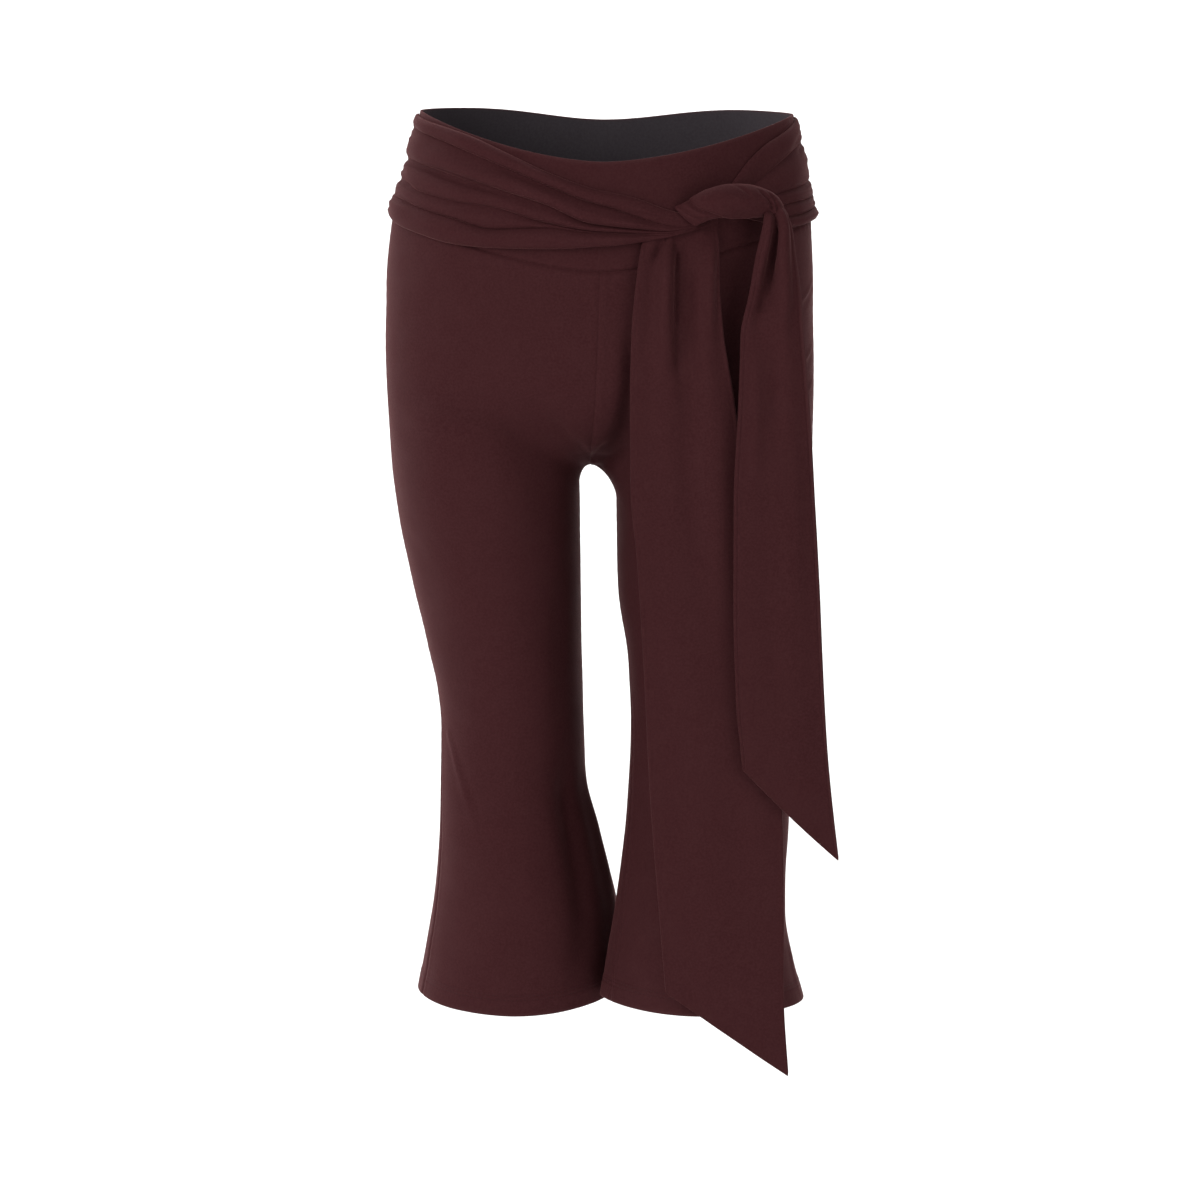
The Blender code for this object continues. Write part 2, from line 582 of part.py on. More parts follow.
# --- the whole ---------------------------------------------------------------------------------
def knit_material():
    material = bpy.data.materials.new("knit_burgundy")
    material.use_nodes = True
    shader = material.node_tree.nodes["Principled BSDF"]
    shader.inputs["Base Color"].default_value = (*CLOTH_COLOUR, 1.0)
    shader.inputs["Roughness"].default_value = CLOTH_ROUGHNESS
    shader.inputs["Metallic"].default_value = 0.0
    return material


def main():
    for thing in list(bpy.data.objects):
        bpy.data.objects.remove(thing, do_unlink=True)
    material = knit_material()
    body_panels(material)
    ties(material)


main()
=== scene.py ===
"""Looks of the tie-waist capri pants: the knit cloth of every piece, its creases and its stitching.

Front, back, left and right are the wearer's: the front faces -Y and the wearer's right is at -X.
Sizes are millimetres unless a name says otherwise; MM turns them into Blender's metres.
"""

from math import cos, pi, sin

import bpy
import numpy as np
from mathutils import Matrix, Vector, kdtree


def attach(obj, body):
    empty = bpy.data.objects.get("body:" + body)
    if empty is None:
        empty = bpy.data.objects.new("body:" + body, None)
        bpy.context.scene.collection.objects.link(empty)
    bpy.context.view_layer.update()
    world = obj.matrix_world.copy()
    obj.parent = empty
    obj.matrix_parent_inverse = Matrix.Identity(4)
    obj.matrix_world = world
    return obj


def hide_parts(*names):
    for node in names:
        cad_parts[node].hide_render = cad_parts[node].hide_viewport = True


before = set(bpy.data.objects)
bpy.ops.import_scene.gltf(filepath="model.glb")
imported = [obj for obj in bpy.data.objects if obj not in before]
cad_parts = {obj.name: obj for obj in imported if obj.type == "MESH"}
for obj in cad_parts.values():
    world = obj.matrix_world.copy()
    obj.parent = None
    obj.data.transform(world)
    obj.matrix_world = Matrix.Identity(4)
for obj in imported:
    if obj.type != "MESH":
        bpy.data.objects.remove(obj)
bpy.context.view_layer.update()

MM = 0.001
SIDES, FACES = ("right", "left"), ("front", "back")
FACE_SIGN = {"front": -1, "back": 1}
OTHER_FACE = {"front": "back", "back": "front"}

# --- the cut, as in the part ---
LIFT = 0.6  # from the yoke's face to a tie that lies on it
CROTCH_Z = -258
SIDE_TOP = {"right": 3, "left": 0}
WAIST_FRONT_Z, WAIST_FRONT_CURVE = -31, 1.7
WAIST_BACK_Z, WAIST_BACK_CREST = -7, 3
YOKE_SIDE_Z = {"right": -71, "left": -76}
YOKE_LOW_Z = {"front": -109, "back": -98}
YOKE_CURVE = 1.5
EDGE_POWER = 0.9
RISE_BLEND = {"front": 72, "back": 84}
CROTCH_FROM = 0.6
INSEAM_START = {"right": 5, "left": 26}

# --- cloth ---
KNIT = 1.3  # the knit's own thickness
TIE_THICK = 2.2  # two layers of it
SEAM_INSET = 0.06  # each panel stops this far short of its seam
HEM_DEPTH = 15
HEM_LAYER = 0.45  # how far the turned hem stands proud of the leg
HEM_STITCH_ROWS = (11.4, 14.6)  # heights of the two needle rows above the edge
RIM_LOOPS = 3
RIM_BULGE = 0.42  # share of the thickness that a cloth edge rounds out by

# --- resolution ---
LEG_COLUMNS, LEG_ROWS = 104, 142
RISE_ROWS, RISE_CROWD = 84, 1.3  # rows lie closer under the yoke seam
CROTCH_ROWS, CROTCH_CROWD, CROTCH_DROP = 10, 1.7, 25
HEM_ROWS, HEM_FINE = 28, 18  # HEM_FINE is the height of the finer rows over the hem
YOKE_ROWS = 44
EDGE_CROWD = 0.72  # columns lie closer beside the seams
CURVE_SAMPLES = 600
CREASE_STEPS = 22
FOLD_STEPS = 16
BAND_COLUMNS = {"right": 190, "left": 84}
KNOT_ROWS, KNOT_POINTS = 132, 84
TAIL_ROWS, TAIL_COLUMNS = 300, 64


class Table:
    """Named columns over the first one, joined by smooth curves that never overshoot a row."""

    def __init__(self, columns, *rows):
        data = np.array(sorted(rows), dtype=float)
        self.key = data[:, 0]
        self.column = dict(zip(columns.split()[1:], data[:, 1:].T))
        self.slope = {name: self.row_slopes(values) for name, values in self.column.items()}

    def row_slopes(self, values):
        steps = np.diff(values) / np.diff(self.key)
        before, after = steps[:-1], steps[1:]
        same_way = before * after > 0
        total = np.where(same_way, before + after, 1)
        middle = np.where(same_way, 2 * before * after / total, 0)
        return np.concatenate((steps[:1], middle, steps[-1:]))

    def at(self, name, key):
        key = np.clip(np.asarray(key, float), self.key[0], self.key[-1])
        row = np.clip(np.searchsorted(self.key, key) - 1, 0, len(self.key) - 2)
        width = self.key[row + 1] - self.key[row]
        u = (key - self.key[row]) / width
        values, slope = self.column[name], self.slope[name]
        return (values[row] * (1 + 2 * u) * (1 - u) ** 2 + values[row + 1] * u * u * (3 - 2 * u)
                + width * (slope[row] * u * (1 - u) ** 2 - slope[row + 1] * u * u * (1 - u)))


SECTION_COLUMNS = "z outer inner seam_y front back twist pinch"
SECTIONS = {
    "right": Table(
        SECTION_COLUMNS,
        (3, -135, -19, 2, 94, 93, 0, 1), (-36, -143.5, -19, 2, 97, 101, 0, 1),
        (-70, -154.5, -19, 2, 101, 111, 0, 1), (-126, -161, -19, 2, 101, 120, 0, 1),
        (-186, -161.5, -19, 2, 98, 121, 0, 1), (-258, -157.5, -18.8, 2, 88, 108, 0, 1),
        (-299, -152.4, -18.3, 4, 83, 95, 0, 1), (-348, -142.7, -17.5, 7, 75, 81, 1, 1),
        (-393, -133, -16.9, 9, 68, 70, 3, 1), (-430, -125.4, -15.9, 11, 62, 63, 6, 1),
        (-460, -122.8, -15.2, 12, 59, 60, 9, 1.02), (-500, -123.3, -13.4, 15, 59, 60, 12, 1.08),
        (-540, -124.7, -4.5, 18, 63, 62, 14, 1.18), (-592, -129.5, 9.4, 21, 70, 65, 17, 1.35),
        (-628, -135.7, 15.8, 23, 75, 68, 18, 1.45), (-665, -142.5, 21.5, 25, 80, 70, 19, 1.5),
    ),
    "left": Table(
        SECTION_COLUMNS,
        (3, 138.5, 9, 2, 94, 93, 0, 1), (-36, 145, 9, 2, 97, 101, 0, 1), (-70, 152, 9, 2, 101, 111, 0, 1),
        (-126, 154.6, 9, 2, 101, 120, 0, 1), (-186, 155, 9, 2, 98, 121, 0, 1),
        (-258, 155.2, 9, 1, 88, 108, 0, 1), (-299, 153.8, 9.4, -2, 83, 95, 0, 1),
        (-348, 149, 11, -6, 75, 83, -2, 1), (-410, 143.4, 18.4, -12, 66, 72, -7, 1),
        (-449, 141.2, 19.8, -16, 60, 66, -12, 1.02), (-490, 139.9, 18.7, -20, 58, 64, -16, 1.08),
        (-524, 138.4, 16.5, -23, 59, 66, -19, 1.18), (-563, 136, 11.5, -27, 62, 70, -22, 1.28),
        (-592, 136.2, 7.5, -30, 64, 74, -24, 1.38), (-628, 142, 1.5, -33, 67, 78, -25, 1.46),
        (-656, 149.5, -3, -36, 69, 80, -26, 1.5),
    ),
}
HEMS = {
    "right": Table("share front back", (0, -663, -663), (0.35, -666.5, -662.5), (0.6, -663, -660),
                   (0.85, -653.5, -654), (1, -649.5, -649.5)),
    "left": Table("share front back", (0, -657, -657), (0.5, -653.5, -655.5), (1, -654, -654)),
}
CENTRE = Table("z x", (3, 1), (-109, -3), (-200, -6), (-258, -10))
SQUARE = Table("z power", (3, 0.95), (-36, 0.93), (-70, 0.9), (-126, 0.86), (-186, 0.8), (-258, 0.78),
               (-299, 0.78))


def smooth_step(value):
    value = np.clip(value, 0, 1)
    return value * value * (3 - 2 * value)


def bell(away, width):
    return np.exp(-(away / width) ** 2)


def quarter_arc(value):
    """Rises from 0 to 1 like a quarter of a circle, steep at the start."""
    return np.sqrt(np.clip(1 - (1 - np.clip(value, 0, 1)) ** 2, 0, 1))


def near_inseam(share):
    return smooth_step((share - CROTCH_FROM) / (1 - CROTCH_FROM))


def crotch_bridge(side, share, z):
    """Shift in x that carries a leg's inner line to the middle of the garment at the crotch."""
    apart = quarter_arc((CROTCH_Z - z) / INSEAM_START[side])
    gap = CENTRE.at("x", CROTCH_Z) - SECTIONS[side].at("inner", z)
    return gap * (1 - apart) * near_inseam(share)


def leg_xy(side, face, share, z):
    """A leg's ring: share 0 is the side seam and 1 the inseam, by way of the named face."""
    rows = SECTIONS[side]
    outer, inner = rows.at("outer", z), rows.at("inner", z)
    angle = pi * share - FACE_SIGN[face] * np.radians(rows.at("twist", z))
    reach, lean = np.cos(angle), np.sin(angle)
    depth = np.where(lean >= 0, rows.at(face, z), rows.at(OTHER_FACE[face], z))
    power = np.where(reach >= 0, 1, rows.at("pinch", z))
    x = 0.5 * (outer + inner) + 0.5 * (outer - inner) * reach + crotch_bridge(side, share, z)
    y = rows.at("seam_y", z) + FACE_SIGN[face] * np.sign(lean) * depth * np.abs(lean) ** power
    return x, y


def quarter(turn, share, power):
    """The cosine or sine of a quarter turn at a share of it, raised to a power."""
    return np.clip(turn(0.5 * pi * share), 0, 1) ** power


def torso_xy(side, face, share, z):
    """A quarter of the torso's ring: share 0 is the side seam and 1 the middle."""
    rows = SECTIONS[side]
    centre, power = CENTRE.at("x", z), SQUARE.at("power", z)
    x = centre + (rows.at("outer", z) - centre) * quarter(np.cos, share, power)
    y = rows.at("seam_y", z) + FACE_SIGN[face] * rows.at(face, z) * quarter(np.sin, share, power)
    return x, y


def body(side, face, share, z):
    """Outer face of the worn cloth: torso above, legs below, and a round rise between them."""
    share, z = np.broadcast_arrays(np.asarray(share, float), np.asarray(z, float))
    height = (z - CROTCH_Z) / RISE_BLEND[face]
    slow, fast = smooth_step(height), quarter_arc(height)
    torso = slow + (fast - slow) * near_inseam(share)
    leg_x, leg_y = leg_xy(side, face, share, z)
    torso_x, torso_y = torso_xy(side, face, share, z)
    return np.stack((leg_x + (torso_x - leg_x) * torso, leg_y + (torso_y - leg_y) * torso, z), axis=-1)


def waist_z(side, face, share):
    reach, top = quarter(np.cos, share, EDGE_POWER), SIDE_TOP[side]
    if face == "front":
        return top + (WAIST_FRONT_Z - top) * (1 - reach ** WAIST_FRONT_CURVE)
    crest = top + (WAIST_BACK_CREST - top) * (1 - reach ** 2)
    return crest + (WAIST_BACK_Z - WAIST_BACK_CREST) * (1 - reach ** 2) ** 4


def yoke_seam_z(side, face, share):
    reach, top = quarter(np.cos, share, EDGE_POWER), YOKE_SIDE_Z[side]
    return top + (YOKE_LOW_Z[face] - top) * (1 - reach ** YOKE_CURVE)


# --- fine grids over the same form ---
def unit(vectors):
    return vectors / np.maximum(np.linalg.norm(vectors, axis=-1, keepdims=True), 1e-9)


def lengths_along(points):
    """Length from the first point of a line, or the first row of a grid, to each of its points."""
    steps = np.linalg.norm(np.diff(points, axis=0), axis=-1)
    return np.concatenate((np.zeros_like(steps[:1]), np.cumsum(steps, axis=0)))


def edge_distances(points):
    """Distance of each grid point from the grid's four edges, along the cloth."""
    start, top = lengths_along(points.swapaxes(0, 1)).T, lengths_along(points)
    return {"start": start, "end": start[:, -1:] - start, "top": top, "low": top[-1:] - top}


def point_between(at, keys, points):
    """Points of a line at places between those of its keys."""
    return np.stack([np.interp(at, keys, points[:, k]) for k in range(3)], axis=-1)


def seam_to_seam(count):
    """Even steps from 0 to 1 that crowd towards both ends."""
    step = np.linspace(0, 1, count + 1)
    return step - EDGE_CROWD * np.sin(2 * pi * step) / (2 * pi)


def leg_grid(side, face):
    """Points of a leg panel: rows from the yoke seam to the hem, columns from side seam to inseam."""
    share = seam_to_seam(LEG_COLUMNS)
    top = yoke_seam_z(side, face, share)

    # the rise: even heights at the side seam, even lengths along the curved middle seam
    fine = 1 - (1 - np.linspace(0, 1, CURVE_SAMPLES)) ** 3
    lengths = lengths_along(body(side, face, 1, top[-1] + (CROTCH_Z - top[-1]) * fine))
    along_side = np.linspace(0, 1, RISE_ROWS + 1) ** RISE_CROWD
    along_middle = np.interp(along_side * lengths[-1], lengths, fine)
    drop = along_side[:, None] + (along_middle - along_side)[:, None] * share ** 2
    rise = top + (CROTCH_Z - top) * drop

    steps = (np.arange(1, CROTCH_ROWS + 1) / CROTCH_ROWS) ** CROTCH_CROWD
    under_crotch = CROTCH_Z - CROTCH_DROP * steps[:, None] * np.ones_like(share)
    start = CROTCH_Z - CROTCH_DROP
    hem = HEMS[side].at(face, share)
    leg = start + (hem + HEM_FINE - start) * np.linspace(0, 1, LEG_ROWS + 1)[1:, None]
    hem_rows = hem + HEM_FINE * (1 - np.linspace(0, 1, HEM_ROWS + 1)[1:, None])
    return body(side, face, share, np.vstack((rise, under_crotch, leg, hem_rows)))


EASE_HEIGHT = 26  # how far above and below the crotch the form is evened out
EASE_FROM, EASE_WIDTH, EASE_SEAM = 0.3, 0.25, 0.3
EASE_PASSES = 60


def ease_crotch(points):
    """Evens out the bend in a leg panel at the height of the crotch, but not at its seams."""
    share = np.linspace(0, 1, points.shape[1])[None, :, None]
    weight = smooth_step((share - EASE_FROM) / EASE_WIDTH) * smooth_step((1 - share) / EASE_SEAM)
    weight = weight * bell(points[..., 2:] - CROTCH_Z, EASE_HEIGHT)
    for _ in range(EASE_PASSES):
        even = points.copy()
        even[1:-1] = 0.25 * points[:-2] + 0.5 * points[1:-1] + 0.25 * points[2:]
        points = points + weight * (even - points)
    return points


def yoke_grid(face):
    """Points of a yoke: rows from the waist to the V seam, columns from right to left."""
    share, rows = seam_to_seam(LEG_COLUMNS), seam_to_seam(YOKE_ROWS)[:, None]
    halves = []
    for side in SIDES:
        top, low = waist_z(side, face, share), yoke_seam_z(side, face, share)
        halves.append(body(side, face, share, top + (low - top) * rows))
    return np.concatenate((halves[0], halves[1][:, -2::-1]), axis=1)


def turned(vectors, guide):
    """The vectors, turned round where they point against the guide on the whole."""
    return -vectors if np.sum(vectors * guide) < 0 else vectors


def grid_normals(points, guide):
    """Unit normals of a grid, on the side that the guide points to."""
    return turned(unit(np.cross(np.gradient(points, axis=1), np.gradient(points, axis=0))), guide)


def border(shape):
    """Indices of a grid's outermost points, once round."""
    rows, columns = shape
    return ([(0, j) for j in range(columns)] + [(i, columns - 1) for i in range(1, rows)]
            + [(rows - 1, j) for j in range(columns - 2, -1, -1)] + [(i, 0) for i in range(rows - 2, 0, -1)])


SAME_POINT = 0.15  # points of two panels this near each other are one point of a seam


def share_seam_normals(grids, normals):
    """Gives points that lie together on a seam one common normal."""
    places = [(name, i, j) for name, points in grids.items() for i, j in border(points.shape[:2])]
    tree = kdtree.KDTree(len(places))
    for index, (name, i, j) in enumerate(places):
        tree.insert(grids[name][i, j], index)
    tree.balance()
    common = []
    for name, i, j in places:
        near = [places[index] for _, index, _ in tree.find_range(grids[name][i, j], SAME_POINT)]
        common.append(unit(sum(normals[panel][row, column] for panel, row, column in near)))
    for (name, i, j), normal in zip(places, common):
        normals[name][i, j] = normal


# --- creases, listed one by one ---
SHOULDER = 0.55  # how much the cloth swells beside a trough
CREASE_FADE = 0.42  # share of its length over which a crease runs in and out
CREASE_NEAR = 3.2  # widths beyond which a crease has no effect


def crease(points, path, depth, width, start=0, finish=0):
    """Height of one soft trough (depth below 0) or ridge along a path over a grid of cloth."""
    height, flat = np.zeros(points.shape[:2]), points.reshape(-1, 3)
    reach = CREASE_NEAR * width
    near = np.all((flat > path.min(axis=0) - reach) & (flat < path.max(axis=0) + reach), axis=1)
    here = flat[near]
    best, along = np.full(len(here), np.inf), np.zeros(len(here))
    for index, (a, b) in enumerate(zip(path[:-1], path[1:])):
        step = b - a
        t = np.clip(((here - a) @ step) / max(step @ step, 1e-9), 0, 1)
        offset = here - a - t[:, None] * step
        distance = np.einsum("ij,ij->i", offset, offset)
        closer = distance < best
        best = np.where(closer, distance, best)
        along = np.where(closer, (index + t) / (len(path) - 1), along)
    x = np.sqrt(best) / width
    rise = start + (1 - start) * smooth_step(along / CREASE_FADE)
    fall = finish + (1 - finish) * smooth_step((1 - along) / CREASE_FADE)
    height[near.reshape(height.shape)] = depth * rise * fall * (1 - SHOULDER * x * x) * np.exp(-x * x)
    return height


def creases(rows, points, place):
    """Height of a table's creases over a grid. A row has three pairs of numbers that a smooth curve
    goes through and that place puts on the cloth, then depth, width, and strength at start and finish."""
    t = np.linspace(0, 1, CREASE_STEPS + 1)
    total = np.zeros(points.shape[:2])
    for row in rows:
        start, middle, end = np.array(row[:6], float).reshape(3, 2, 1)
        curve = start * (1 - t) * (1 - 2 * t) + middle * 4 * t * (1 - t) + end * t * (2 * t - 1)
        total += crease(points, place(*curve), *row[6:])
    return total


# (share, z) three times, with the back's shares below 0, depth, width, start, finish
BODY_CREASES = {
    "right": (
        # cloth stretched over the folds under the seat and in the groin
        (-0.26, -214, -0.54, -214, -0.86, -219, 4.8, 17), (0.22, -219, 0.48, -219, 0.76, -224, 4.6, 16),
        # both hems give way where the legs touch
        (0.65, -637, 0.73, -650, 0.8, -654, -1.5, 8, 0.5, 1),
        # front of the right leg: from the groin to the crotch, and the pull inside the flare
        (0.8, -184, 0.885, -212, 0.955, -248, -1.5, 11, 0, 0.5),
        (0.9, -214, 0.93, -226, 0.965, -246, -1.2, 5.5, 0, 0.5),
        (0.965, -230, 0.982, -240, 1, -250, -1, 3.6, 0, 0.8), (0.66, -220, 0.7, -262, 0.8, -300, -0.9, 17),
        (0.104, -461, 0.188, -492, 0.279, -543, 1.1, 4.4, 0.6),
        (0.14, -470, 0.235, -500, 0.33, -560, -0.5, 7, 0.5),
        (0.7, -450, 0.67, -540, 0.57, -640, -4.8, 13, 0, 0.3),
        (0.88, -470, 0.85, -545, 0.78, -622, 2.6, 9.5, 0, 0.3),
        (0.78, -318, 0.75, -385, 0.7, -448, -1.2, 13, 0, 0.4),
        (0.3, -560, 0.34, -610, 0.36, -655, 0.9, 16, 0, 0.8),
        (0.08, -300, 0.2, -318, 0.31, -345, -0.35, 9, 0.3),
        # back: under the seat, from the crotch, behind the knees and in the flares
        (-0.34, -262, -0.55, -276, -0.78, -266, -1.5, 10, 0, 0.2),
        (-0.52, -286, -0.7, -296, -0.88, -284, -1.2, 8, 0, 0.3),
        (-0.74, -210, -0.86, -232, -0.955, -250, -2, 9, 0, 0.7),
        (-0.86, -300, -0.76, -325, -0.62, -342, -1.3, 8, 0.4),
        (-0.28, -395, -0.46, -408, -0.66, -398, -1.5, 7),
        (-0.36, -424, -0.52, -432, -0.74, -420, -1.1, 6, 0, 0.2),
        (-0.22, -446, -0.36, -456, -0.55, -452, -0.9, 5.5),
        (-0.66, -460, -0.68, -545, -0.56, -635, -3, 14, 0, 0.3),
        (-0.3, -520, -0.33, -580, -0.36, -650, 1.3, 15, 0, 0.8),
        # hips and back yoke: faint drag from the side seams, where the ties are sewn in
        (-0.02, -96, -0.15, -104, -0.3, -118, -0.8, 6, 0.5),
        (-0.02, -128, -0.13, -140, -0.26, -158, -0.6, 7, 0.5),
        (-0.02, -22, -0.2, -27, -0.42, -24, -0.9, 5, 0.6),
        (-0.02, -48, -0.17, -54, -0.36, -55, -0.9, 5.5, 0.6),
    ),
    "left": (
        # cloth stretched over the folds under the seat and in the groin
        (-0.26, -214, -0.54, -214, -0.86, -219, 4.8, 17), (0.22, -219, 0.5, -219, 0.8, -224, 4.6, 16),
        # both hems give way where the legs touch
        (-0.59, -640, -0.68, -651, -0.76, -655, -1.5, 8, 0.5, 1),
        # hollow beside the long tie
        (0.93, -140, 0.935, -195, 0.945, -252, -4, 9, 0, 0.6),
        # front of the left leg: drag towards the side seam under the ties, crotch and flare
        (0.29, -134, 0.2, -129, 0.11, -121, 0.9, 2.4, 0, 0.5),
        (0.28, -139, 0.19, -134, 0.1, -127, -0.8, 3.4, 0, 0.5),
        (0.26, -178, 0.18, -173, 0.1, -166, 0.9, 2.4, 0, 0.5),
        (0.25, -183, 0.17, -178, 0.09, -172, -0.8, 3.6, 0, 0.5),
        (0.19, -201, 0.15, -197, 0.1, -191, 0.7, 2.2, 0, 0.5),
        (0.84, -196, 0.905, -222, 0.96, -250, -2.8, 11, 0, 0.7),
        (0.93, -262, 0.905, -248, 0.885, -234, -2.4, 4.6, 0.4),
        (0.97, -234, 0.985, -243, 1, -252, -1.6, 3.6, 0, 1),
        (0.73, -470, 0.74, -545, 0.62, -630, -2.6, 13, 0, 0.3),
        (0.196, -600, 0.204, -628, 0.212, -650, 0.9, 4.2, 0, 0.4),
        (0.34, -560, 0.38, -605, 0.4, -648, 0.9, 15, 0, 0.8),
        # back: under the seat, from the crotch, behind the knees and in the flares
        (-0.36, -260, -0.58, -275, -0.8, -268, -1.6, 10, 0, 0.2),
        (-0.48, -290, -0.66, -298, -0.86, -290, -1.1, 8, 0, 0.3),
        (-0.72, -214, -0.85, -234, -0.955, -252, -1.9, 9, 0, 0.7),
        (-0.84, -305, -0.72, -332, -0.58, -350, -1.2, 8, 0.4),
        (-0.26, -402, -0.44, -414, -0.64, -406, -1.4, 7),
        (-0.4, -432, -0.58, -438, -0.78, -428, -1.1, 6, 0, 0.2),
        (-0.68, -470, -0.7, -550, -0.58, -632, -2.8, 13, 0, 0.3),
        (-0.28, -530, -0.31, -590, -0.34, -648, 1.2, 14, 0, 0.8),
        # hips and back yoke: faint drag from the side seams, where the ties are sewn in
        (-0.02, -98, -0.16, -108, -0.32, -124, -0.8, 6, 0.5),
        (-0.02, -26, -0.18, -32, -0.38, -31, -0.9, 5, 0.6),
        (-0.02, -54, -0.15, -60, -0.33, -63, -0.8, 5.5, 0.6),
    ),
}


def body_place(side):
    """Puts the shares and heights of a crease on the front or the back of the worn cloth."""
    def place(share, z):
        face = "back" if share[0] < 0 else "front"
        return body(side, face, np.clip(-FACE_SIGN[face] * share, 0, 1), z)
    return place


RIPPLES = (  # (wave vector per mm, phase, height): slow unevenness of worn knit
    ((0.050, 0.021, 0.034), 0.4, 0.20), ((-0.031, 0.043, 0.071), 2.1, 0.16),
    ((0.083, -0.052, 0.047), 4, 0.10), ((0.021, 0.096, -0.058), 1.3, 0.10),
    ((-0.117, 0.033, 0.092), 5.2, 0.06), ((0.062, 0.121, 0.139), 3.3, 0.05),
)


def ripple(points):
    return sum(height * np.sin(points @ np.array(wave) + phase) for wave, phase, height in RIPPLES)


# --- seams and hems ---
SEAM_DIPS = {  # how deep a panel sinks into the seam at each of its edges
    "leg": {"top": 1.25, "start": 0.75, "end": 0.12},
    "yoke": {"low": 1.25, "start": 0.75, "end": 0.75},
}
SEAM_WIDTH = 1.2
SEAM_SHOULDER = 0.2  # low ridge beside the dip, over the seam allowance
SHOULDER_AT, SHOULDER_WIDTH = 4.6, 2.4
PUCKER, PUCKER_REACH = 0.16, 5
PUCKER_WAVE, PUCKER_DRIFT, PUCKER_DRIFT_WAVE = 9, 2.3, 31


def seam_relief(kind, distances):
    """Dips at the seams, the rise over the seam allowances beside them, and their small puckers."""
    relief = 0
    for edge, depth in SEAM_DIPS[kind].items():
        away = distances[edge]
        along = distances["top" if edge in ("start", "end") else "start"]
        wave = np.sin(2 * pi * along / PUCKER_WAVE + PUCKER_DRIFT * np.sin(along / PUCKER_DRIFT_WAVE))
        relief = relief + (SEAM_SHOULDER * bell(away - SHOULDER_AT, SHOULDER_WIDTH)
                           - depth * bell(away, SEAM_WIDTH) + PUCKER * wave * bell(away, PUCKER_REACH))
    return relief


NEEDLE_GROOVE, NEEDLE_WIDTH = 0.3, 0.8
HEM_STEP = 1.2  # width of the step where the turned hem's raw edge ends


def in_hem(away):
    """1 where the hem is turned up, 0 above it."""
    return 1 - smooth_step((away - HEM_DEPTH) / HEM_STEP)


def hem_relief(away):
    """The turned hem: proud of the leg, with a groove along each row of stitches."""
    grooves = sum(bell(away - row, NEEDLE_WIDTH) for row in HEM_STITCH_ROWS)
    return HEM_LAYER * in_hem(away) - NEEDLE_GROOVE * grooves


# --- meshes ---
def new_object(name, data):
    thing = bpy.data.objects.new(name, data)
    bpy.context.scene.collection.objects.link(thing)
    return thing


def add_mesh(name, points, faces, materials, uv, wear_and_highlight, face_material=None):
    """Makes an object from points and UVs in millimetres, lists of faces and, for each point, an amount of
    worn edge and painted highlight.
    """
    mesh = bpy.data.meshes.new(name)
    mesh.from_pydata((points * MM).tolist(), [], faces)
    for material in materials:
        mesh.materials.append(material)
    if face_material is not None:
        mesh.polygons.foreach_set("material_index", face_material.astype(np.int32))
    loops = np.empty(len(mesh.loops), dtype=np.int32)
    mesh.loops.foreach_get("vertex_index", loops)
    layer = mesh.uv_layers.new(name="cloth")
    layer.data.foreach_set("uv", (uv * MM)[loops].astype(np.float32).ravel())
    attribute = mesh.attributes.new("wear_and_highlight", "FLOAT", "POINT")
    attribute.data.foreach_set("value", wear_and_highlight.astype(np.float32))
    mesh.shade_smooth()
    mesh.update()
    return new_object(name, mesh)


def quads(top_left, top_right, low_right, low_left):
    return np.stack([part.ravel() for part in (top_left, top_right, low_right, low_left)], axis=1)


def shell(name, outer, inner, materials, wear_and_highlight):
    """One piece of cloth: an outer and an inner grid closed by a rounded edge."""
    rows, columns = outer.shape[:2]
    count = rows * columns
    index = np.arange(count).reshape(rows, columns)
    i, j = np.transpose(border((rows, columns)))
    at, behind = index[i, j], index[np.clip(i, 1, rows - 2), np.clip(j, 1, columns - 2)]
    flat_outer, flat_inner = outer.reshape(-1, 3), inner.reshape(-1, 3)
    edge_out, edge_in = flat_outer[at], flat_inner[at]
    away = unit(0.5 * (edge_out + edge_in) - 0.5 * (flat_outer[behind] + flat_inner[behind]))
    thick = np.linalg.norm(edge_out - edge_in, axis=1, keepdims=True)
    loops, points = [at], [flat_outer, flat_inner]
    for step in range(1, RIM_LOOPS + 1):
        turn = pi * step / (RIM_LOOPS + 1)
        share = 0.5 - 0.5 * cos(turn)
        points.append(edge_out + (edge_in - edge_out) * share + away * thick * RIM_BULGE * sin(turn))
        loops.append(2 * count + (step - 1) * len(at) + np.arange(len(at)))
    loops.append(count + at)
    faces = [quads(index[:-1, :-1], index[:-1, 1:], index[1:, 1:], index[1:, :-1])]
    faces.append(count + faces[0][:, ::-1])
    for first, second in zip(loops[:-1], loops[1:]):
        faces.append(quads(first, second, np.roll(second, -1), np.roll(first, -1)))
    slots = np.repeat([0, len(materials) - 1] + [0] * (RIM_LOOPS + 1), [len(part) for part in faces])
    faces = np.concatenate(faces)
    sample = np.cross(outer[1:, :-1] - outer[:-1, :-1], outer[:-1, 1:] - outer[:-1, :-1])
    if np.sum(sample * (outer - inner)[:-1, :-1]) > 0:
        faces = faces[:, ::-1]
    uv, wear_and_highlight = cloth_uv(outer).reshape(-1, 2), wear_and_highlight.ravel()
    uv = np.concatenate((uv, uv, np.tile(uv[at], (RIM_LOOPS, 1))))
    wear_and_highlight = np.concatenate((wear_and_highlight, wear_and_highlight, np.tile(wear_and_highlight[at], RIM_LOOPS)))
    return add_mesh(name, np.concatenate(points), faces.tolist(), materials, uv, wear_and_highlight, slots)


def cloth_uv(points):
    """Lengths along the cloth in millimetres, across and down, measured from its middle line."""
    distances = edge_distances(points)
    middle = points.shape[1] // 2
    across = distances["start"] - distances["start"][:, middle:middle + 1]
    down = distances["top"].mean(axis=1, keepdims=True)
    return np.stack(np.broadcast_arrays(across, -down), axis=-1)


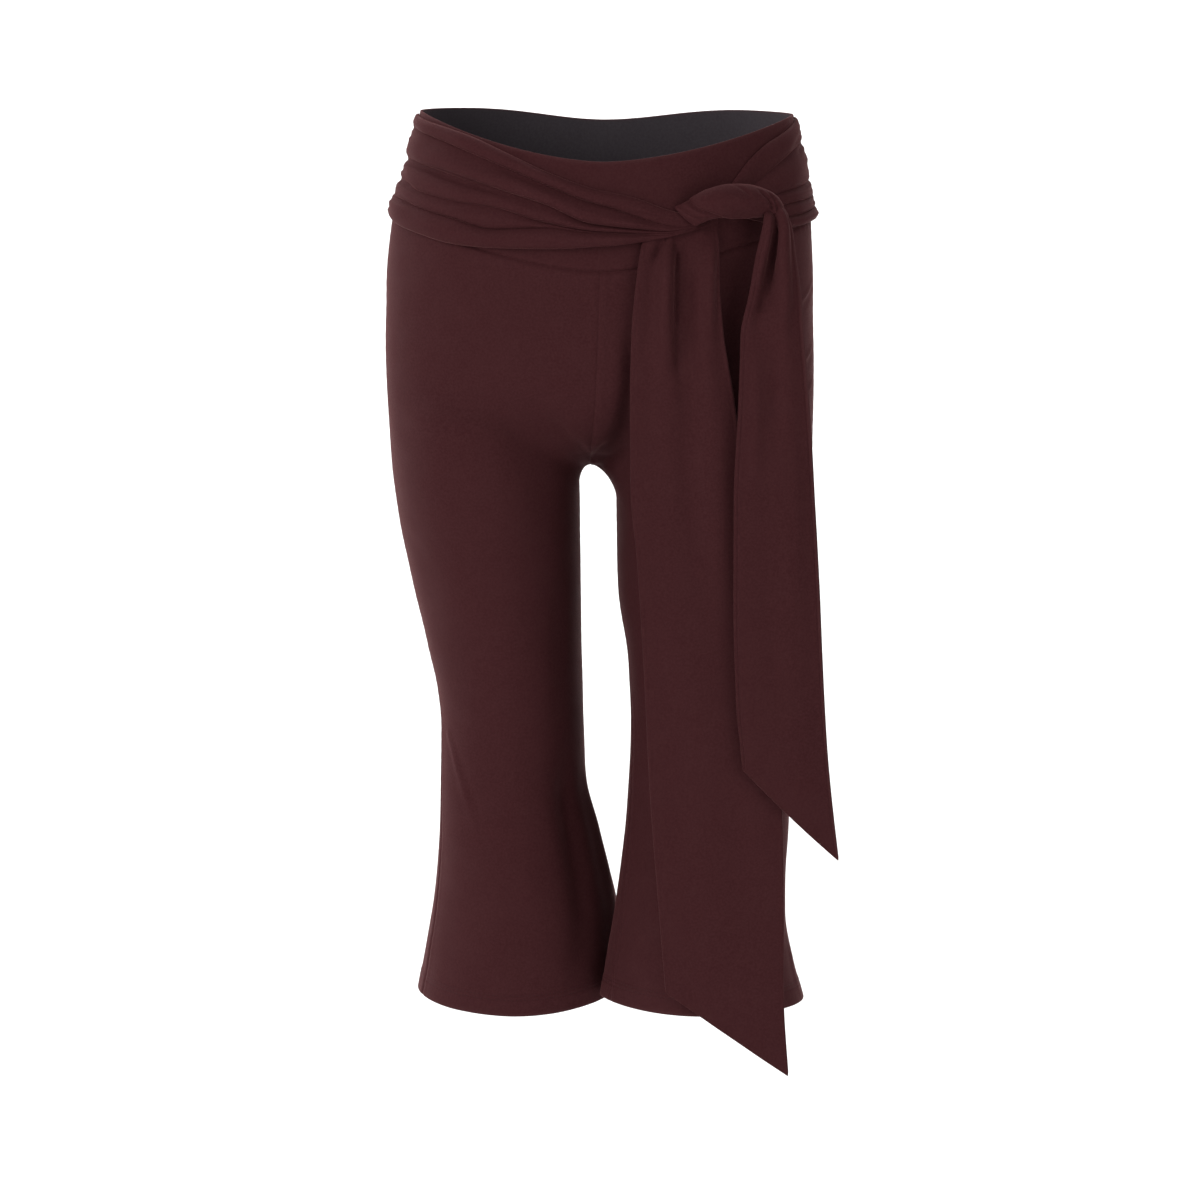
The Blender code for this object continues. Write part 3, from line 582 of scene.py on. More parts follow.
NEIGHBOURS = {"top": (np.s_[0], np.s_[1]), "low": (np.s_[-1], np.s_[-2]),
              "start": (np.s_[:, 0], np.s_[:, 1]), "end": (np.s_[:, -1], np.s_[:, -2])}


def inset_edges(points, edges):
    """Draws the named edges of a grid inwards by the seam gap."""
    moved = points.copy()
    for edge in edges:
        here, inside = NEIGHBOURS[edge]
        moved[here] += unit(points[inside] - points[here]) * SEAM_INSET
    return moved


# --- materials ---
KNIT_COLOUR = (0.0495, 0.0130, 0.0150, 1)
KNIT_LIGHT = (0.0690, 0.0218, 0.0235, 1)
KNIT_DARK = (0.0390, 0.0098, 0.0114, 1)
INSIDE_COLOUR = (0.0600, 0.0500, 0.0570, 1)
INSIDE_LIGHT = (0.0780, 0.0670, 0.0750, 1)
INSIDE_DARK = (0.0440, 0.0350, 0.0400, 1)
# lighter, greyer tone of worn edges; along a tail's edge it serves as a painted highlight
WEAR_AND_HIGHLIGHT_COLOUR = (0.1050, 0.0480, 0.0490, 1)
THREAD_COLOUR = (0.0300, 0.0085, 0.0095, 1)
SHEEN_TINT = (1, 0.42, 0.41, 1)
PAPER, PAPER_LIGHT = (0.86, 0.86, 0.86, 1), (0.88, 0.88, 0.88, 1)
WALE_M = 0.00082  # one column of knit stitches
COURSE_M = 0.00062  # one row of them
V_LEAN, V_DEPTH = 1.3, 0.35
WEAVE_STRENGTH, WEAVE_HEIGHT_M, FUZZ = 0.28, 0.00016, 0.5
ROUGH, ROUGH_SPREAD = 0.74, 0.10
THREAD_TWIST_M = 0.00005


class Nodes:
    """Short calls that make a material and add and link its shader nodes."""

    def __init__(self, name):
        self.material = bpy.data.materials.new(name)
        self.material.use_nodes = True
        self.tree = self.material.node_tree
        self.tree.nodes.clear()

    def add(self, kind, *inputs, settings=None, **named):
        """A node with its settings, its inputs in their order, or its inputs by name."""
        node = self.tree.nodes.new("ShaderNode" + kind)
        for name, value in (settings or {}).items():
            setattr(node, name, value)
        named = {name.replace("_", " "): value for name, value in named.items()}
        for key, value in (*enumerate(inputs), *named.items()):
            if isinstance(value, bpy.types.NodeSocket):
                self.tree.links.new(value, node.inputs[key])
            else:
                node.inputs[key].default_value = value
        return node

    def math(self, operation, *values):
        return self.add("Math", *values, settings={"operation": operation}).outputs[0]

    def blend(self, amount, first, second):
        """A mix of two colours, which are the node's inputs 6 and 7."""
        node = self.add("Mix", amount, settings={"data_type": "RGBA"})
        for index, colour in ((6, first), (7, second)):
            if isinstance(colour, tuple):
                node.inputs[index].default_value = colour
            else:
                self.tree.links.new(colour, node.inputs[index])
        return node.outputs[2]

    def noise(self, vector, scale, detail=3):
        return self.add("TexNoise", Vector=vector, Scale=scale, Detail=detail).outputs["Fac"]

    def spread(self, value, low, high):
        return self.add("MapRange", value, low, high).outputs["Result"]

    def finish(self, **inputs):
        shader = self.add("BsdfPrincipled", **inputs)
        self.add("OutputMaterial", shader.outputs["BSDF"])
        return self.material


def knit_height(nodes, uv):
    """Height of a plain jersey face: columns of V stitches."""
    parts = nodes.add("SeparateXYZ", uv).outputs
    across = nodes.math("FRACT", nodes.math("DIVIDE", parts["X"], WALE_M))
    lean = nodes.math("ABSOLUTE", nodes.math("SUBTRACT", across, 0.5))
    rib = nodes.math("SINE", nodes.math("MULTIPLY", across, pi))
    row = nodes.math("ADD", nodes.math("DIVIDE", parts["Y"], COURSE_M), nodes.math("MULTIPLY", lean, V_LEAN))
    stitch = nodes.math("SINE", nodes.math("MULTIPLY", row, 2 * pi))
    return nodes.math("MULTIPLY", rib, nodes.math("MULTIPLY_ADD", stitch, V_DEPTH, 0.5))


def knit_material(name, colours, sheen, weave=1):
    """Smooth double knit: soft uneven colour, a fine weave and a velvety edge light."""
    mixed, light, dark = colours
    nodes = Nodes(name)
    spot = nodes.add("TexCoord").outputs["Object"]
    uv = nodes.add("UVMap", settings={"uv_map": "cloth"}).outputs["UV"]
    # the worn-edge mask lightens hems, the waist's edge, seams and knot ridges, and on the right tail's outer
    # edge it paints a highlight
    wear_and_highlight = nodes.add("Attribute", settings={"attribute_name": "wear_and_highlight"}).outputs["Fac"]
    broad = nodes.spread(nodes.noise(spot, 9), 0.32, 0.68)
    cloudy = nodes.spread(nodes.noise(spot, 55), 0.30, 0.70)
    heather = nodes.spread(nodes.noise(spot, 640, 2), 0.32, 0.68)
    height = knit_height(nodes, uv)
    # painted shade: the colour is darkened in the valleys between the knit's stitches
    valley_shade = nodes.spread(height, 0.5, 0)
    for where, share, tint in ((broad, 0.22, light), (cloudy, 0.16, dark), (heather, 0.60, light),
                               (valley_shade, 0.25, dark), (wear_and_highlight, 0.35, WEAR_AND_HIGHLIGHT_COLOUR)):
        mixed = nodes.blend(nodes.math("MULTIPLY", where, share), mixed, tint)
    rough = nodes.math("ADD", nodes.math("MULTIPLY", cloudy, ROUGH_SPREAD), ROUGH)
    fuzz = nodes.math("MULTIPLY", nodes.noise(spot, 1600, 2), FUZZ)
    bump = nodes.add("Bump", Strength=WEAVE_STRENGTH * weave, Distance=WEAVE_HEIGHT_M,
                     Height=nodes.math("ADD", height, fuzz))
    return nodes.finish(Base_Color=mixed, Roughness=rough, Normal=bump.outputs["Normal"], Sheen_Weight=sheen,
                        Sheen_Roughness=0.34, Sheen_Tint=SHEEN_TINT, Specular_IOR_Level=0.06)


def thread_material():
    """Polyester sewing thread, twisted and a little shinier than the knit."""
    nodes = Nodes("thread_burgundy")
    spot = nodes.add("TexCoord").outputs["Object"]
    colour = nodes.blend(nodes.spread(nodes.noise(spot, 700), 0.3, 0.7), THREAD_COLOUR, KNIT_DARK)
    twist = nodes.add("TexWave", settings={"bands_direction": "DIAGONAL"}, Vector=spot, Scale=900)
    bump = nodes.add("Bump", Strength=0.3, Distance=THREAD_TWIST_M, Height=twist.outputs["Fac"])
    return nodes.finish(Base_Color=colour, Roughness=0.6, Normal=bump.outputs["Normal"],
                        Specular_IOR_Level=0.15)


# --- legs and yokes ---
YOKE_INSIDE = np.array((0, 0, -50))  # a point inside the yokes
LEG_INSIDE = 30  # from the middle between a leg panel's seams to the inside of the leg
WEAR_REACH = 1.4  # width of the lighter edge along seams and hems, and of the painted highlight on a tail's edge
SEAM_WEAR, EDGE_WEAR = 0.12, 0.5  # beside the side seam, and on the hem or the waist's edge


def body_grids():
    """Points and outward normals of both yokes and the four leg panels."""
    grids, normals = {}, {}
    for face in FACES:
        name = f"{face}_yoke"
        grids[name] = yoke_grid(face)
        normals[name] = grid_normals(grids[name], grids[name] - YOKE_INSIDE)
        for side in SIDES:
            name = f"{face}_leg_{side}"
            grids[name] = points = ease_crotch(leg_grid(side, face))
            inside = 0.5 * (points[:, :1] + points[:, -1:]) - (0, FACE_SIGN[face] * LEG_INSIDE, 0)
            normals[name] = grid_normals(points, points - inside)
    share_seam_normals(grids, normals)
    return grids, normals


def body_piece(name, points, normals, materials):
    """One yoke or leg panel. Returns the object and its outer grid."""
    kind, free_edge = ("yoke", "top") if name.endswith("yoke") else ("leg", "low")
    distances = edge_distances(points)
    relief = ripple(points) + seam_relief(kind, distances)
    for side in SIDES:
        if kind == "yoke" or name.endswith(side):
            relief += creases(BODY_CREASES[side], points, body_place(side))
    thick = np.full(points.shape[:2], KNIT)
    if kind == "leg":
        relief += hem_relief(distances["low"])
        thick += KNIT * in_hem(distances["low"])
    outer = points + normals * relief[..., None]
    inner = inset_edges(outer - normals * thick[..., None], SEAM_DIPS[kind])
    outer = inset_edges(outer, SEAM_DIPS[kind])
    wear_and_highlight = SEAM_WEAR * bell(distances["start"], WEAR_REACH)
    wear_and_highlight += EDGE_WEAR * bell(distances[free_edge], WEAR_REACH)
    return shell(f"knit_{name}", outer, inner, materials, wear_and_highlight), outer


# --- ties on the yoke ---
# around runs from -1 at the right side seam over 0 in the middle to 1 at the left side seam
BAND_TABLE = "around top valley_1 valley_2 valley_3 valley_4 bottom"
BANDS = {
    "right": Table(
        BAND_TABLE,
        (-1, 0.5, -9, -29, -45, -58, -70), (-0.8, -3, -11.5, -33, -50, -61, -78),
        (-0.615, -7.5, -17, -38, -56, -66.5, -84), (-0.46, -14, -25, -44.5, -60.5, -72, -89.5),
        (-0.304, -25.5, -35.5, -51.5, -64, -79, -92), (-0.142, -40, -49, -61.5, -73.4, -77, -92.4),
        (-0.02, -50.2, -60, -74, -78.8, -80.4, -90.8), (0.09, -57.2, -69.8, -77.8, -80.6, -81.8, -87.3),
        (0.165, -64.2, -75.2, -79.4, -81, -82.4, -83.9), (0.21, -67.2, -76.4, -78.4, -79.4, -80.3, -81.2),
        (0.25, -69, -75.4, -76.6, -77.4, -78.1, -78.8), (0.3, -68, -71.8, -72.4, -72.9, -73.4, -74),
    ),
    "left": Table(
        BAND_TABLE,
        (1, -2, -16, -47, -58, -66, -74), (0.8, -9.5, -24, -51, -61, -69.5, -77),
        (0.69, -14.5, -31, -53, -62, -71.5, -79), (0.6, -20, -38, -55.5, -64, -72, -77.5),
        (0.5, -31, -47.5, -58.5, -65, -70.5, -74), (0.41, -46.5, -54, -59, -63.5, -67, -70),
    ),
}
# (height, lean, full, tuck, share at the side): lean moves the crest down, tuck rolls it over
FOLDS = {
    "right": ((4, 1.05, 0.55, 0.9, 0.22), (6.2, 1.5, 0.75, 1.5, 0.3), (3.6, 1.6, 0.8, 1, 0.34),
              (3, 1.3, 0.8, 0.7, 0.4), (5.4, 1, 0.62, 1.2, 0.4)),
    "left": ((3.4, 1.1, 0.6, 0.9, 0.3), (5, 1.4, 0.75, 1.2, 0.4), (3.6, 1.3, 0.8, 0.8, 0.45),
             (3.4, 1.2, 0.8, 0.7, 0.5), (5, 1.1, 0.65, 1.2, 0.6)),
}
FOLD_PARTS = 0.5 - 0.5 * np.cos(pi * np.linspace(0, 1, FOLD_STEPS + 1)[1:])  # closer at both ends
FOLD_STEEP = 0.75  # a fold stands proud by at most this share of its own height
TUCK_AT, TUCK_WIDTH = 0.86, 0.1
FOLD_INSIDE = 0.9  # share of the folds that the band's hidden face has
SWELL_AT_SEAM, LIFT_AT_SEAM = 0.14, 0.2
AT_SEAM, CAUGHT_REACH = 0.45, 0.03  # a tie is thinner where the side seam catches its end
SEAM_REACH, SIDE_REACH = 0.06, 0.3
SWELL_AT_KNOT = {"right": 0.3, "left": 0.35}
KNOT_PRESS = {"right": (1.02, 1.22), "left": (0.24, 0.5)}
GATHER_HEIGHT, GATHER_REACH, GATHER_FROM = 0.8, 0.2, 0.12
GATHER_WAVES = (10.3, 16.7)
# the right band passes over the left tie, which lifts its low part
OVER_TAIL, OVER_TAIL_FROM, OVER_TAIL_REACH, OVER_TAIL_DOWN = 2.6, 0.10, 0.08, 0.25
STEP_ROUND, STEP_Z = 0.004, 0.5  # steps over which the torso's normal is taken
BAND_RIPPLE = 0.5
CREASE_OUT = 4  # from the torso to the creases of a band
DEEPEST = 0.85  # share of a band's thickness that a crease may take

# (around, z) three times, depth, width, start, finish
BAND_CREASES = {
    "right": (
        (-0.8, -34.5, -0.52, -43, -0.22, -58.5, -2.4, 3, 0.2), (-0.66, -38, -0.5, -43, -0.34, -51, -1.2, 6),
        (-0.985, -21, -0.8, -24, -0.64, -27, -2, 2.6, 0.7),
        (-0.985, -33, -0.78, -35.5, -0.54, -40, -2.2, 2.8, 0.7),
        (-0.98, -40, -0.87, -42, -0.76, -46, -1.3, 2.2, 0.7),
        (-0.985, -47.5, -0.82, -50, -0.68, -53, -1.9, 2.4, 0.7),
        (-0.985, -56, -0.88, -57, -0.79, -58, -1.1, 2, 0.7),
        (-0.985, -62.5, -0.8, -63, -0.64, -66, -1.7, 2.3, 0.7),
        (-0.985, -66, -0.76, -70.5, -0.55, -76, -1.8, 2.6, 0.7),
        (-0.985, -8, -0.86, -10, -0.74, -13, -1.1, 2.4, 0.6),
        (-0.985, -14.5, -0.88, -16, -0.77, -18, -1, 2, 0.6), (-0.62, -27, -0.44, -34.5, -0.27, -46, -0.9, 5),
        (-0.4, -31, -0.22, -45, -0.06, -58, -0.7, 3.2),
        (-0.06, -58.5, 0.08, -66.5, 0.17, -72, -1.3, 2, 0, 0.8),
        (-0.1, -68, 0.03, -73, 0.16, -78, -1, 1.8, 0, 0.8), (-0.16, -54, -0.02, -63, 0.1, -70, 0.6, 2.2),
        (-0.52, -52, -0.36, -58, -0.2, -67, -0.6, 4),
    ),
    "left": (
        (0.985, -10, 0.84, -16, 0.71, -25, -1.1, 2.2, 0.7),
        (0.985, -20, 0.88, -24, 0.78, -30, -1.4, 2.2, 0.7), (0.985, -31, 0.9, -34, 0.82, -38, 1, 2.2, 0.7),
        (0.985, -38, 0.88, -40, 0.77, -44, -1.7, 2.4, 0.7),
        (0.985, -53.5, 0.88, -55, 0.76, -57.5, -1.2, 2, 0.7),
        (0.985, -62.5, 0.9, -63.5, 0.8, -65, -1.2, 1.9, 0.7),
        (0.985, -70, 0.88, -72, 0.78, -74, -1.1, 1.8, 0.7), (0.86, -19, 0.72, -27, 0.58, -39, -0.8, 3),
    ),
}


def torso_point(around, z):
    """A point on the front of the torso, from right (-1) to left (1)."""
    around, z = np.broadcast_arrays(np.asarray(around, float), np.asarray(z, float))
    right, left = [body(side, "front", 1 - np.abs(around), z) for side in SIDES]
    return np.where((around < 0)[..., None], right, left)


def torso_normal(around, z):
    inside = np.clip(around, -1 + STEP_ROUND, 1 - STEP_ROUND)
    across = torso_point(inside + STEP_ROUND, z) - torso_point(inside - STEP_ROUND, z)
    up = torso_point(inside, z + STEP_Z) - torso_point(inside, z - STEP_Z)
    return unit(np.cross(across, up))


def band_grids(side):
    """Outer and inner grid and outward directions of a tie's band: rows down its folds, columns away
    from the side seam."""
    rows = BANDS[side]
    first, last = (0, -1) if side == "right" else (-1, 0)
    around = np.linspace(rows.key[first], rows.key[last], BAND_COLUMNS[side] + 1)
    out = np.abs(around - around[0])
    lines = [rows.at(name, around) for name in rows.column]
    press_from, press_to = KNOT_PRESS[side]
    press = 1 + (SWELL_AT_KNOT[side] - 1) * smooth_step((out - press_from) / (press_to - press_from))
    heights, lifts = [lines[0]], [np.zeros_like(around)]
    for upper, lower, (height, lean, full, tuck, at_side) in zip(lines, lines[1:], FOLDS[side]):
        swell = SWELL_AT_SEAM + (at_side - SWELL_AT_SEAM) * smooth_step(out / SEAM_REACH)
        swell = press * (swell + (1 - at_side) * smooth_step(out / SIDE_REACH))
        size = np.minimum(height, FOLD_STEEP * (upper - lower))
        for part in FOLD_PARTS:
            roll = tuck * swell * bell(part - TUCK_AT, TUCK_WIDTH)
            heights.append(upper + (lower - upper) * part - roll)
            lifts.append(size * swell * sin(pi * part ** lean) ** full)
    z, lift = np.array(heights), np.array(lifts)
    down = (z - z[0]) / (z[-1] - z[0])
    near_seam = (1 - smooth_step(out / GATHER_REACH)) * smooth_step(down / GATHER_FROM)
    for waves in GATHER_WAVES:
        wave = 0.5 + 0.5 * np.cos(2 * pi * waves * down)
        lift += GATHER_HEIGHT / len(GATHER_WAVES) * near_seam * wave
    off = LIFT * (LIFT_AT_SEAM + (1 - LIFT_AT_SEAM) * smooth_step(out / SEAM_REACH))
    if side == "right":
        over = smooth_step((around - OVER_TAIL_FROM) / OVER_TAIL_REACH)
        off = off + OVER_TAIL * over * smooth_step((down - OVER_TAIL_DOWN) / (1 - OVER_TAIL_DOWN))
    around = np.broadcast_to(around, z.shape)
    base, normal = torso_point(around, z), torso_normal(around, z)
    thick = TIE_THICK * (AT_SEAM + (1 - AT_SEAM) * smooth_step(out / CAUGHT_REACH))
    outer = base + normal * (off + thick + lift)[..., None]
    return outer, base + normal * (off + FOLD_INSIDE * lift)[..., None], normal


def band_piece(side, material):
    outer, inner, out = band_grids(side)

    def place(around, z):
        return torso_point(around, z) + torso_normal(around, z) * CREASE_OUT

    relief = BAND_RIPPLE * ripple(outer) + creases(BAND_CREASES[side], outer, place)
    relief = np.maximum(relief, -DEEPEST * np.linalg.norm(outer - inner, axis=-1))
    outer = outer + grid_normals(outer, out) * relief[..., None]
    return shell(f"knit_tie_{side}_band", outer, inner, (material,), np.zeros(outer.shape[:2]))


# --- the knot ---
KNOT = Table(
    "along x y z tall deep slant",  # slant draws the top back and the low side on
    (0, 57.5, -99.6, -69.2, 7, 1.6, 1.15), (0.1, 63.5, -101.6, -66.2, 7.9, 5.6, 0.9),
    (0.22, 71, -103, -62.2, 10.2, 8.4, 0.6), (0.34, 78.5, -103, -59.7, 11.8, 10, 0.35),
    (0.5, 90, -100.5, -58.3, 12.9, 10.8, 0.1), (0.66, 101.5, -96.5, -58.4, 12.6, 10.6, 0),
    (0.78, 110.2, -92.5, -59.4, 11.2, 10, 0), (0.88, 118.2, -89.5, -62, 9.4, 9, 0),
    (0.95, 122.8, -88.5, -67.6, 7.4, 8, 0), (1, 124.4, -87.5, -75, 6.2, 7, 0),
)
KNOT_SIZE = 0.97
KNOT_UPRIGHT = 0.4  # rings stand upright at the start of the run, and square to it from this share on
STEEP, KNOT_HANG = 0.9, np.array((-0.35, -0.94, 0))  # where the run is this steep, and the way out there
KNOT_RIPPLE, KNOT_RIPPLE_SCALE = 0.6, 1.6
KNOT_CAPS = ((0.86, 0.84), (0.6, 1.44), (0.3, 1.8), (0.02, 1.92))  # (size, rows beyond the end)
KNOT_RADIUS = 11  # in the middle, for the UVs
KNOT_WEAR_FROM, KNOT_WEAR_MOST = 0.6, 0.5

# (along, degrees) three times, depth, width, start, finish; 0 degrees faces out, 90 down, -90 up
KNOT_CREASES = (
    (0.165, -85, 0.185, 12, 0.36, 80, -2.4, 1.8, 0.5, 0.3),
    (0.02, -60, 0.07, 20, 0.16, 70, -0.9, 1.7, 0.6, 0.2), (0.15, -10, 0.24, 40, 0.3, 78, 0.8, 3),
    (0.52, -74, 0.6, -42, 0.66, -10, -0.8, 2.2, 0.4), (0.7, -50, 0.8, -28, 0.885, 8, -2.2, 1.8, 0, 1),
    (0.79, -56, 0.865, -36, 0.93, -10, -1.5, 1.5, 0, 1), (0.46, 52, 0.62, 44, 0.82, 36, -0.7, 4, 0, 0.3),
    (0.36, -42, 0.5, -18, 0.66, 12, 0.6, 5), (0.1, 262, 0.35, 256, 0.6, 262, -1.2, 3, 0.3),
    (0.28, 96, 0.5, 104, 0.72, 96, -1.4, 3.4),
)


def knot_point(along, degrees):
    """Points on the roll at shares of its length and angles round it."""
    along, angle = np.broadcast_arrays(np.asarray(along, float), np.radians(degrees))
    fine = np.linspace(0, 1, CURVE_SAMPLES)
    middle = np.stack([KNOT.at(name, fine) for name in "xyz"], axis=-1)
    heading = np.gradient(middle, axis=0)
    heading[:, 2] *= smooth_step(fine / KNOT_UPRIGHT)
    heading = unit(heading)
    steep = np.abs(heading[:, 2:]) >= STEEP
    out = unit(np.where(steep, KNOT_HANG, np.cross(heading, (0, 0, 1))))
    out = np.where(out[:, 1:2] > 0, -out, out)
    parts = (middle, out, np.cross(heading, out), heading)
    place, out, up, ahead = [point_between(along, fine, part) for part in parts]
    deep = (KNOT.at("deep", along) * np.cos(angle) * KNOT_SIZE)[..., None]
    tall = (KNOT.at("tall", along) * np.sin(angle) * KNOT_SIZE)[..., None]
    return place + out * deep + up * tall + ahead * tall * KNOT.at("slant", along)[..., None]


def knot_piece(material):
    """The roll: rings round its run, which close to small ends inside the tail and the band."""
    along = np.linspace(0, 1, KNOT_ROWS + 1)[:, None]
    points = knot_point(along, np.linspace(0, 360, KNOT_POINTS, endpoint=False))
    wrapped = np.concatenate((points[:, -1:], points, points[:, :1]), axis=1)
    normals = np.cross(np.gradient(wrapped, axis=1), np.gradient(wrapped, axis=0))[:, 1:-1]
    normals = turned(unit(normals), points - points.mean(axis=1, keepdims=True))
    relief = KNOT_RIPPLE * ripple(KNOT_RIPPLE_SCALE * points) + creases(KNOT_CREASES, points, knot_point)
    points = points + normals * relief[..., None]
    caps = []
    for end, inside in ((0, 1), (-1, -2)):
        middle = points[end].mean(axis=0)
        step = middle - points[inside].mean(axis=0)
        caps.append([middle + (points[end] - middle) * size + step * rise for size, rise in KNOT_CAPS])
    rings = np.array(caps[0][::-1] + list(points) + caps[1])
    index = np.arange(rings[..., 0].size).reshape(rings.shape[:2])
    beside = np.roll(index, -1, axis=1)
    faces = quads(index[:-1], beside[:-1], beside[1:], index[1:]).tolist()
    faces += [index[0, ::-1].tolist(), index[-1].tolist()]
    lengths = lengths_along(rings.mean(axis=1))[:, None]
    girth = 2 * pi * KNOT_RADIUS * np.arange(KNOT_POINTS) / KNOT_POINTS
    uv = np.stack(np.broadcast_arrays(lengths, girth), axis=-1).reshape(-1, 2)
    caps_wide = (len(KNOT_CAPS), len(KNOT_CAPS))
    wear_and_highlight = np.pad(np.clip(relief - KNOT_WEAR_FROM, 0, KNOT_WEAR_MOST), (caps_wide, (0, 0)))
    return add_mesh("knit_tie_knot", rings.reshape(-1, 3), faces, (material,), uv, wear_and_highlight.ravel())


# --- the tails ---
TAIL_TABLE = "z near far y lean wave"  # near and far: x of the edges that face the middle and the side
TAILS = {
    "left": Table(
        TAIL_TABLE,
        (-66, 32, 80, -93.5, 9, 0), (-76, 30.4, 80.6, -95.6, 9, 0), (-86, 28.4, 81, -98.8, 6, 0.6),
        (-94, 26.8, 81.2, -102.8, 4, 2.4), (-110, 24.4, 81.4, -108, 3, 5), (-150, 20.6, 84.2, -109, 2, 4.4),
        (-200, 19.4, 92.3, -108.5, 0, 3), (-265, 20, 101, -109, 0, 2), (-316, 24.6, 107, -109.5, 0, 1.4),
        (-394, 29.5, 117, -110, 0, 1), (-484, 34, 128, -111.5, -1, 0.8), (-565, 40, 130.2, -113, -1, 0.8),
        (-638, 46, 130.8, -114, -1, 1), (-697, 51, 134.6, -114, -1, 1),
    ),
    "right": Table(
        TAIL_TABLE,
        (-60, 111, 120, -89, 2, 0), (-64, 114.5, 126.2, -94.5, 4, 0), (-68, 115.6, 129.4, -97.6, 5, 0),
        (-72, 115.2, 131.2, -99.2, 4, 1), (-78, 114, 133.2, -100.2, 3, 3), (-97, 109.4, 136, -102.5, 3, 5.5),
        (-125, 104.3, 139.8, -106.5, 2, 5), (-153, 98.5, 141.8, -110.8, 2, 4),
        (-178, 97.8, 144, -113.8, 3, 3), (-213, 96.4, 146.8, -116.5, 6, 2.2),
        (-271, 93.8, 150.4, -118, 8, 1.4), (-343, 93.8, 154.7, -119, 8, 1), (-417, 96, 158.5, -120, 7, 0.8),
        (-467, 100.6, 162, -120.5, 6, 0.8), (-534, 104, 169.8, -121, 5, 0.8),
    ),
}
# heights of the near and far corners, at the top and then at the low end
TAIL_ENDS = {"left": (-84.5, -66.5, -634.5, -696.5), "right": (-60, -60, -466.5, -534)}
TAIL_TOP_CURVE = 1.5
TAIL_WAVES = {"left": 2.5, "right": 1.5}
TAIL_WAVE_SHARE = {"left": 0.25, "right": 0.35}  # of the wave that is left once the listed folds are laid
TAIL_BOW, TAIL_GROWTH, TAIL_RIPPLE = 2.5, 1.25, 0.8
TAIL_CLEAR, TAIL_SOFT = 0.4, 0.6  # a tail's least distance from the body, and how softly it rests
HALVINGS = 14
EDGE_SEAM_AT, EDGE_SEAM_WIDTH = 2.4, 0.7  # groove inside the turned edge of a tie
EDGE_SEAM_DEPTH, EDGE_ROLL = 0.35, 0.35
TAIL_EDGE = {"left": 0.25, "right": 1}  # share of the edge seam's relief that shows
TAIL_LIT_EDGE = {"left": 0, "right": 0.8}  # painted highlight along the edge that faces the side seam
FORWARD = np.array((0, -1, 0))

# (share, z) three times, depth, width, start, finish
TAIL_CREASES = {
    "left": (
        (0.26, -84, 0.22, -92, 0.16, -106, -3.6, 3.6, 1), (0.46, -76, 0.485, -120, 0.5, -215, -6, 4.4, 1),
        (0.58, -80, 0.62, -135, 0.6, -240, -5.4, 8.5, 0.6), (0.48, -150, 0.5, -230, 0.5, -340, -2.2, 13),
        (0.52, -80, 0.57, -90, 0.64, -101, -2, 3, 1), (0.33, -88, 0.34, -124, 0.31, -200, 3, 6.5),
        (0.36, -88, 0.38, -118, 0.39, -170, 2.2, 4), (0.93, -80, 0.9, -114, 0.86, -175, 2.6, 4.4),
        (0.7, -140, 0.5, -170, 0.28, -200, -1.5, 7), (0.8, -190, 0.72, -280, 0.7, -380, 1.6, 13),
        (0.22, -240, 0.24, -340, 0.3, -450, 0.9, 14), (0.62, -420, 0.66, -510, 0.72, -620, -0.8, 12),
        (0.03, -640, 0.1, -645, 0.2, -651, -1.3, 2, 0.2),
    ),
    "right": (
        (0.5, -62, 0.42, -92, 0.27, -134, -7, 3.8, 0.6, 0.2), (0.45, -98, 0.34, -124, 0.2, -156, -3, 7, 0.2),
        (0.76, -64, 0.72, -115, 0.66, -170, 2.2, 4.6, 1), (0.2, -70, 0.15, -96, 0.08, -122, 1.8, 3.2, 1),
        (0.55, -140, 0.55, -185, 0.52, -255, -2.6, 7.5), (0.24, -150, 0.24, -205, 0.28, -290, 1.8, 6.5),
        (0.78, -200, 0.74, -290, 0.68, -390, 1.2, 10), (0.4, -300, 0.44, -380, 0.5, -460, -0.7, 10),
    ),
}


def tail_point(side, share, z):
    rows = TAILS[side]
    near, far = rows.at("near", z), rows.at("far", z)
    wave = rows.at("wave", z) * TAIL_WAVE_SHARE[side] * np.cos(2 * pi * TAIL_WAVES[side] * share)
    bow = TAIL_BOW * (2 * share - 1) ** 2
    y = rows.at("y", z) + rows.at("lean", z) * (share - 0.5) - wave + bow
    return np.stack(np.broadcast_arrays(near + (far - near) * share, y, z), axis=-1)


def body_front(x, z):
    """Where the body's outer face is, as y, straight behind a point of a tail."""
    low, high = np.zeros_like(x), np.ones_like(x)  # around the left half, from the middle to the side seam
    for _ in range(HALVINGS):
        half = 0.5 * (low + high)
        beyond = torso_point(half, z)[..., 0] > x
        low, high = np.where(beyond, low, half), np.where(beyond, half, high)
    return torso_point(low, z)[..., 1]


